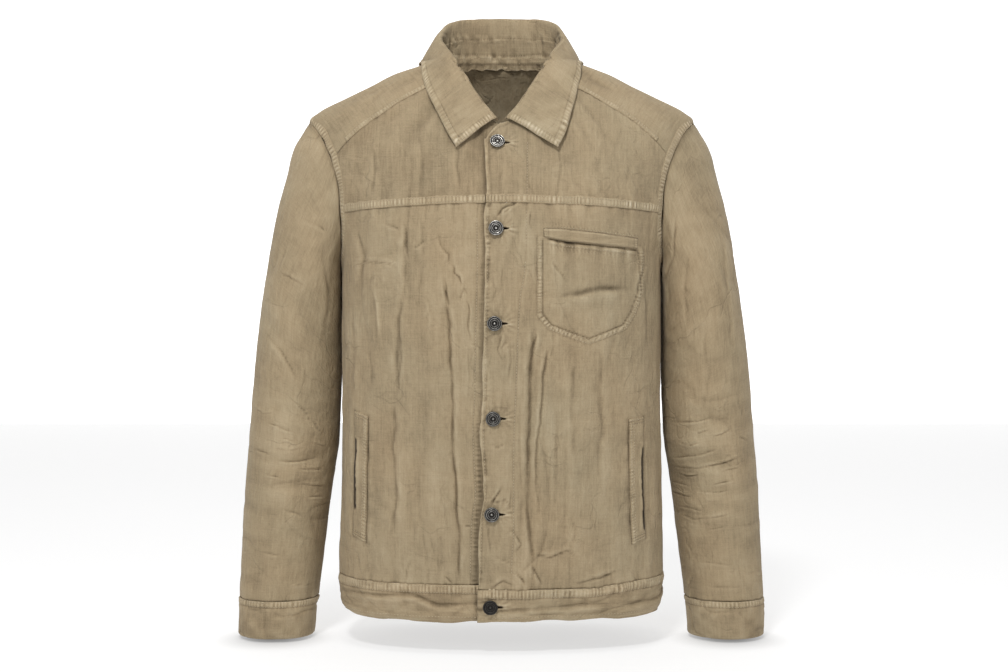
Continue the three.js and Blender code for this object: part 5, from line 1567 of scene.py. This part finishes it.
for level, end in ((-250, -606), (-192, -232)):
    z = np.linspace(level, end, 120)
    sewFront(1, placketLine(z), z)
z = np.linspace(-112, -178, 40)
sewFront(1, placketLine(z), z, upperSurface)
z = np.linspace(-200, -606, 160)
sewFront(1, frontEdge(z) + 3.4, z, pitch=3.8)
sewFront(-1, frontEdge(z) - 8.5, z)
for away in (1.6, 5.2):
    sewFront(1, *besidePath(pocket["bag"], away), pitch=3.2, long=2.2)
x = np.linspace(50, 157, 60)
sewFront(1, x, pocket["weltTop"](x) + 1.5)
sewFront(1, x, pocket["weltLow"](x) - 6)
for side in (1, -1):
    welt = sidePlace(side)
    across = np.linspace(0.03, 0.97, 50)
    for share in (0.86, 0.68):
        made = welt(across, 0 * across + share)
        stitch(made["point"], made["normal"], pitch=3.2)
    for share in (0.02, 0.05, 0.95, 0.98):
        made = welt(0 * across + share, across)
        stitch(made["point"], made["normal"], pitch=2.8, long=2.0)
    around = np.linspace(0.08, 2 * math.pi - 0.08, 90)
    for down in (1.6, 6.4):
        z = jacket["cuffTop"] - down + 0 * around
        point, normal = cuffAt(side, around, z, cuffRelief(side, around, z)[0])
        stitch(point, normal)
around = np.linspace(-0.1, 2 * math.pi + 0.05, 500)
for down in (1.8, 9.4):
    dip = bandDip(bare(around, -625.0)[..., 0], np.where(around < math.pi / 2, 1, -1))
    made = waistSurface(around, jacket["bandTop"] - dip - down)
    stitch(made["point"], made["normal"])
made = waistSurface(around, jacket["hem"] + 4.6 + 0 * around)
stitch(made["point"], made["normal"], pitch=3.8)
leaf = collarPlace(*np.meshgrid(np.linspace(0, 1, 300), np.linspace(0.5, 1, 60), indexing="ij"))
left, right, low, top = insideOf(leaf["point"])
for inside in (2.4, 8.0):
    row = [np.interp(-inside, -top[i], np.arange(60)) for i in range(300)]
    keep = (left[:, -1] > inside) & (right[:, -1] > inside)
    share = np.array(row)[keep]
    base = np.floor(share).astype(int)
    rest = (share - base)[:, None]
    rows = np.arange(300)[keep]
    pick = lambda grid: grid[rows, base] * (1 - rest) + grid[rows, np.minimum(base + 1, 59)] * rest
    stitch(pick(leaf["point"]), pick(leaf["normal"]), pitch=3.2)
    for far in (left, right):
        levels, order = np.arange(8, 60), 1 if far is left else -1
        column = np.array([np.interp(inside, far[::order, j], np.arange(300)) for j in levels])
        ends = np.rint(column if far is left else 299 - column).astype(int)
        stitch(leaf["point"][ends, levels], leaf["normal"][ends, levels], pitch=3.2)


# Shader maths on sockets
class Value:
    def __init__(self, socket):
        self.socket = socket

    def join(self, other, operation, swap=False):
        pair = (other, self) if swap else (self, other)
        return make("Math", {"operation": operation}, {0: pair[0], 1: pair[1]})

    def __add__(self, other): return self.join(other, "ADD")
    def __sub__(self, other): return self.join(other, "SUBTRACT")
    def __mul__(self, other): return self.join(other, "MULTIPLY")
    def __radd__(self, other): return self.join(other, "ADD", True)
    def __rsub__(self, other): return self.join(other, "SUBTRACT", True)
    def __rmul__(self, other): return self.join(other, "MULTIPLY", True)


tree = None


# Adds a node to the tree in hand: its settings first, then its sockets' values or links.
def make(kind, settings=None, sockets=None, out=0):
    node = tree.nodes.new("ShaderNode" + kind)
    for key, value in (settings or {}).items():
        if key == "stops":
            ramp = node.color_ramp
            while len(ramp.elements) < len(value):
                ramp.elements.new(0.5)
            for element, (at, colour) in zip(ramp.elements, value):
                element.position, element.color = at, (*colour, 1)
        else:
            setattr(node, key, value)
    for key, value in (sockets or {}).items():
        if isinstance(value, Value):
            tree.links.new(value.socket, node.inputs[key])
        else:
            node.inputs[key].default_value = value
    return Value(node.outputs[out]) if node.outputs else None


def material(name):
    global tree
    made = bpy.data.materials.new(name)
    made.use_nodes = True
    tree = made.node_tree
    tree.nodes.clear()
    return made


def mixColour(share, a, b, blend="MIX"):
    return make("Mix", {"data_type": "RGBA", "blend_type": blend}, {0: share, 6: a, 7: b}, out=2)


# A noise texture, its scale one number or two where it is stretched along the cloth
def speckle(place, scale, detail=2.0, roughness=0.5):
    if isinstance(scale, tuple):
        place, scale = make("Mapping", {}, {"Vector": place, "Scale": (*scale, 1)}), 1.0
    return make("TexNoise", {}, {"Vector": place, "Scale": scale, "Detail": detail, "Roughness": roughness})


def ranged(value, low, high, toLow=0.0, toHigh=1.0, smooth=False):
    return make("MapRange", {"interpolation_type": "SMOOTHSTEP" if smooth else "LINEAR"}, {
        "Value": value, "From Min": low, "From Max": high, "To Min": toLow, "To Max": toHigh,
    })


def bumped(height, strength):
    return make("Bump", {}, {"Strength": strength, "Distance": 1.0, "Height": height})


def finished(made, sockets):
    make("OutputMaterial", {}, {"Surface": make("BsdfPrincipled", {}, sockets)})
    return made


linenLook = {
    "ramp": [  # from the painted shade of the deepest creases and slits to the ridges, paler by wear and painted highlight
        (0.0, (0.010, 0.007, 0.004)), (0.2, (0.062, 0.046, 0.028)), (0.38, (0.215, 0.168, 0.107)),
        (0.5, (0.335, 0.267, 0.173)), (0.62, (0.425, 0.350, 0.240)), (0.85, (0.60, 0.52, 0.39)),
        (1.0, (0.68, 0.6, 0.47)),
    ],
    "warm": (1.06, 0.975, 0.89, 1), "cool": (0.955, 1.0, 0.995, 1), "thread": (0.50, 0.42, 0.30),
    "worn": 0.45, "warpStreaks": 0.2, "weftStreaks": 0.15, "flecks": 0.24,  # shares in the colour
    "mottle": 0.3, "slubs": 0.14, "crinkle": 0.22, "creaseLines": 0.03,
    "weaveHigh": 0.0001, "grainHigh": 0.0005, "slubHigh": 0.0002,  # heights in metres
    "crinkleHigh": 0.003, "lineDeep": 0.0011,
    "lines": (("X", 7.0, 9.0), ("Y", 6.0, 11.0), ("DIAGONAL", 5.0, 12.0)),  # direction, scale and bend
}


def linenMaterial(name, shift):
    made = material(name)
    look = linenLook
    uv = make("UVMap", {"uv_map": "cut"})
    tone = make("Attribute", {"attribute_name": "tone"}, out=2)
    mottle, tint = speckle(uv, 17.0, 4.0, 0.6), speckle(uv, 9.0, 3.0)
    upright, level = speckle(uv, (640, 46)), speckle(uv, (52, 600))
    slubs, fleck = speckle(uv, (330, 17), 1.0), speckle(uv, 620.0, 2.0, 0.7)
    crinkle, patches = speckle(uv, (190, 95), 3.0, 0.6), speckle(uv, 16.0, 1.0)
    weave = 0
    for direction, scale in (("X", 215.0), ("Y", 200.0)):
        weave = make("TexWave", {"bands_direction": direction}, {
            "Vector": uv, "Scale": scale, "Distortion": 1.5, "Detail": 1.0,
        }) + weave
    washed = 0
    for direction, scale, bend in look["lines"]:
        wave = make("TexWave", {"bands_direction": direction}, {
            "Vector": uv, "Scale": scale, "Distortion": bend, "Detail": 3.0,
            "Detail Scale": 1.3, "Detail Roughness": 0.62,
        })
        washed = ranged(wave, 0.985, 1.0, smooth=True) + washed
    washed = washed * ranged(patches, 0.47, 0.66)
    grain = (
        (upright - 0.5) * look["warpStreaks"] + (level - 0.5) * look["weftStreaks"]
        + (fleck - 0.5) * look["flecks"]
    )
    # The tone attribute brings painted shade in creases, slits and along seams and painted highlight on
    # ridges; the fine crease lines are darkened as painted shade, and the crinkle is paler where its bump
    # rises, a painted highlight
    shade = (
        tone * look["worn"] + grain + (mottle - 0.5) * look["mottle"] + (slubs - 0.5) * look["slubs"]
        + (crinkle - 0.5) * look["crinkle"] - washed * look["creaseLines"]
    )
    colour = make("ValToRGB", {"stops": look["ramp"]}, {0: shade * 0.5 + (0.5 + shift)})
    cast = mixColour(tint, look["warm"], look["cool"])
    height = (
        weave * look["weaveHigh"] + grain * look["grainHigh"] + slubs * look["slubHigh"]
        + crinkle * look["crinkleHigh"] - washed * look["lineDeep"]
    )
    return finished(made, {
        "Base Color": mixColour(1.0, colour, cast, "MULTIPLY"),
        "Roughness": ranged(shade, -0.5, 0.6, 0.95, 0.84),
        "Normal": bumped(height, 0.6), "Sheen Weight": 0.06, "Sheen Roughness": 0.5,
        "Specular IOR Level": 0.18,
    })


def threadMaterial():
    made = material("linen_thread")
    place = make("TexCoord", {}, out=3)
    pale = linenLook["thread"]
    return finished(made, {
        "Base Color": mixColour(speckle(place, 60.0), (*pale, 1), (*(0.85 * c for c in pale), 1)),
        "Normal": bumped(speckle(place, 2400.0, 1.0) * 0.0001, 0.4), "Roughness": 0.8,
        "Specular IOR Level": 0.25,
    })


metalLook = [
    (0.0, (0.02, 0.018, 0.016)), (0.2, (0.07, 0.066, 0.06)), (0.5, (0.27, 0.26, 0.24)),
    (0.9, (0.62, 0.6, 0.56)),
]


def metalMaterial():
    made = material("aged_gunmetal")
    worn = make("Attribute", {"attribute_name": "worn"}, out=2)
    cloud = speckle(make("TexCoord", {}, out=3), 520.0, 4.0, 0.65)
    rubbed = worn * (cloud * 1.6 + 0.15) + (cloud - 0.5) * 0.12
    return finished(made, {
        "Base Color": make("ValToRGB", {"stops": metalLook}, {0: rubbed}), "Metallic": 0.85,
        "Roughness": ranged(rubbed, 0.0, 0.9, 0.5, 0.27), "Normal": bumped(cloud * 0.00012, 0.3),
    })


# White that glows by itself, less so around each dip, a painted shadow on the floor: x, y, how far it reaches
# and how deep it is
def whiteMaterial(name, base, glow, dips=()):
    made = material(name)
    white, share = (1, 1, 1, 1), 1
    for x, y, reach, deep in dips:
        here = make("TexCoord", out=3)
        far = make("VectorMath", {"operation": "DISTANCE"}, {0: here, 1: (x, y, studio["floor"])}, out=1)
        share = ranged(far, 0.0, reach, 1 - deep, 1.0, smooth=True) * share
    return finished(made, {
        "Base Color": (base, base, base, 1), "Roughness": 0.9, "Specular IOR Level": 0.0,
        "Emission Color": mixColour(share, (0, 0, 0, 1), white) if dips else white, "Emission Strength": glow,
    })


# The inner faces of the yoke and back take a copy of the linen painted a little lighter, setting how bright
# they look in their shade
washedLinen, insideLinen = linenMaterial("washed_linen", 0.0), linenMaterial("linen_inside", 0.075)
threadLook, gunmetal = threadMaterial(), metalMaterial()
for piece in linenPieces.values():
    piece.data.materials.append(washedLinen)
    if piece.name in ("yoke_cloth", "back_cloth"):
        piece.data.materials.append(insideLinen)
        piece.modifiers["wall"].material_offset = 1
for piece in metalPieces:
    piece.data.materials.append(gunmetal)


# Every stitch, joined into one mesh of small grains of thread
def sewing(name, rows):
    grain = bmesh.new()
    bmesh.ops.create_icosphere(grain, subdivisions=1, radius=1)
    seed = meshFrom(grain, "grain")
    count = sum(len(row[0]) for row in rows)
    many = bmesh.new()
    for _ in range(count):
        many.from_mesh(seed)
    mesh = meshFrom(many, name)
    shape = np.empty(len(seed.vertices) * 3)
    seed.vertices.foreach_get("co", shape)
    shape = shape.reshape(-1, 3)
    centre, ahead, out, long, thick = (np.concatenate([row[k] for row in rows]) for k in range(5))
    aside = np.cross(out, ahead)
    co = (
        centre[:, None] + ahead[:, None] * (shape[None, :, 0] * long[:, None] / 2)[..., None]
        + aside[:, None] * (shape[None, :, 1] * thick[:, None])[..., None]
        + out[:, None] * (shape[None, :, 2] * thick[:, None])[..., None]
    )
    mesh.vertices.foreach_set("co", (co * mm).ravel())
    smoothed(mesh)
    mesh.update()
    mesh.materials.append(threadLook)
    settle(placed(name, mesh), [])


sewing("seam_stitching", stitchRows)

print("stitches:", sum(len(row[0]) for row in stitchRows))

# Floor, backdrop, camera and light
studio = {
    "floor": -0.7, "half": 6.0, "back": 4.5,
    "floorBase": 0.4, "floorGlow": 0.63, "backBase": 0.5, "backGlow": 1.1,
    "lens": 54.16, "from": (0.003, -1.85, -0.335), "world": 0.23,
    "shade": ((0.274, -0.02, 0.085, 0.65), (-0.274, -0.02, 0.085, 0.65)),  # under the cuffs
}


def studioPlane(name, matrix, look):
    ground = bmesh.new()
    bmesh.ops.create_grid(ground, x_segments=2, y_segments=2, size=studio["half"], matrix=matrix)
    mesh = meshFrom(ground, name)
    mesh.materials.append(look)
    placed(name, mesh)


studioPlane(
    "studio_floor", Matrix.Translation((0, 0, studio["floor"])),
    whiteMaterial("studio_floor", studio["floorBase"], studio["floorGlow"], studio["shade"]),
)
studioPlane(
    "studio_backdrop",
    Matrix.Translation((0, studio["back"], studio["half"] + studio["floor"])) @ Matrix.Rotation(
        math.pi / 2, 4, "X",
    ),
    whiteMaterial("studio_backdrop", studio["backBase"], studio["backGlow"]),
)

lens = bpy.data.cameras.new("photo_camera")
lens.lens, lens.sensor_width, lens.clip_end = studio["lens"], 36, 60
camera = placed("photo_camera", lens)
camera.location, camera.rotation_euler = studio["from"], (math.pi / 2, 0, 0)
bpy.context.scene.camera = camera

lamps = [  # where, towards, size in metres, power in watts
    ((-0.45, -1.9, 1.75), (0, 0, -0.33), 0.45, 42),
    ((-2.4, -1.9, 0.5), (0, 0, -0.35), 1.0, 11),
    ((2.4, -2.0, 0.4), (0, 0, -0.35), 1.0, 14),
    ((0.0, -0.8, 2.5), (0, 0, -0.35), 1.0, 18),
]
for k, (where, towards, size, power) in enumerate(lamps):
    light = bpy.data.lights.new(f"softbox_{k + 1}", "AREA")
    light.shape, light.size, light.energy = "DISK", size, power
    holder = placed(light.name, light)
    holder.location = where
    holder.rotation_euler = (Vector(towards) - Vector(where)).to_track_quat("-Z", "Y").to_euler()

world = bpy.data.worlds.new("white_room")
world.use_nodes = True
world.node_tree.nodes["Background"].inputs["Color"].default_value = (1, 1, 1, 1)
world.node_tree.nodes["Background"].inputs["Strength"].default_value = studio["world"]
bpy.context.scene.world = world
bpy.context.scene.view_settings.view_transform = "Standard"
bpy.context.scene.view_settings.look = "None"
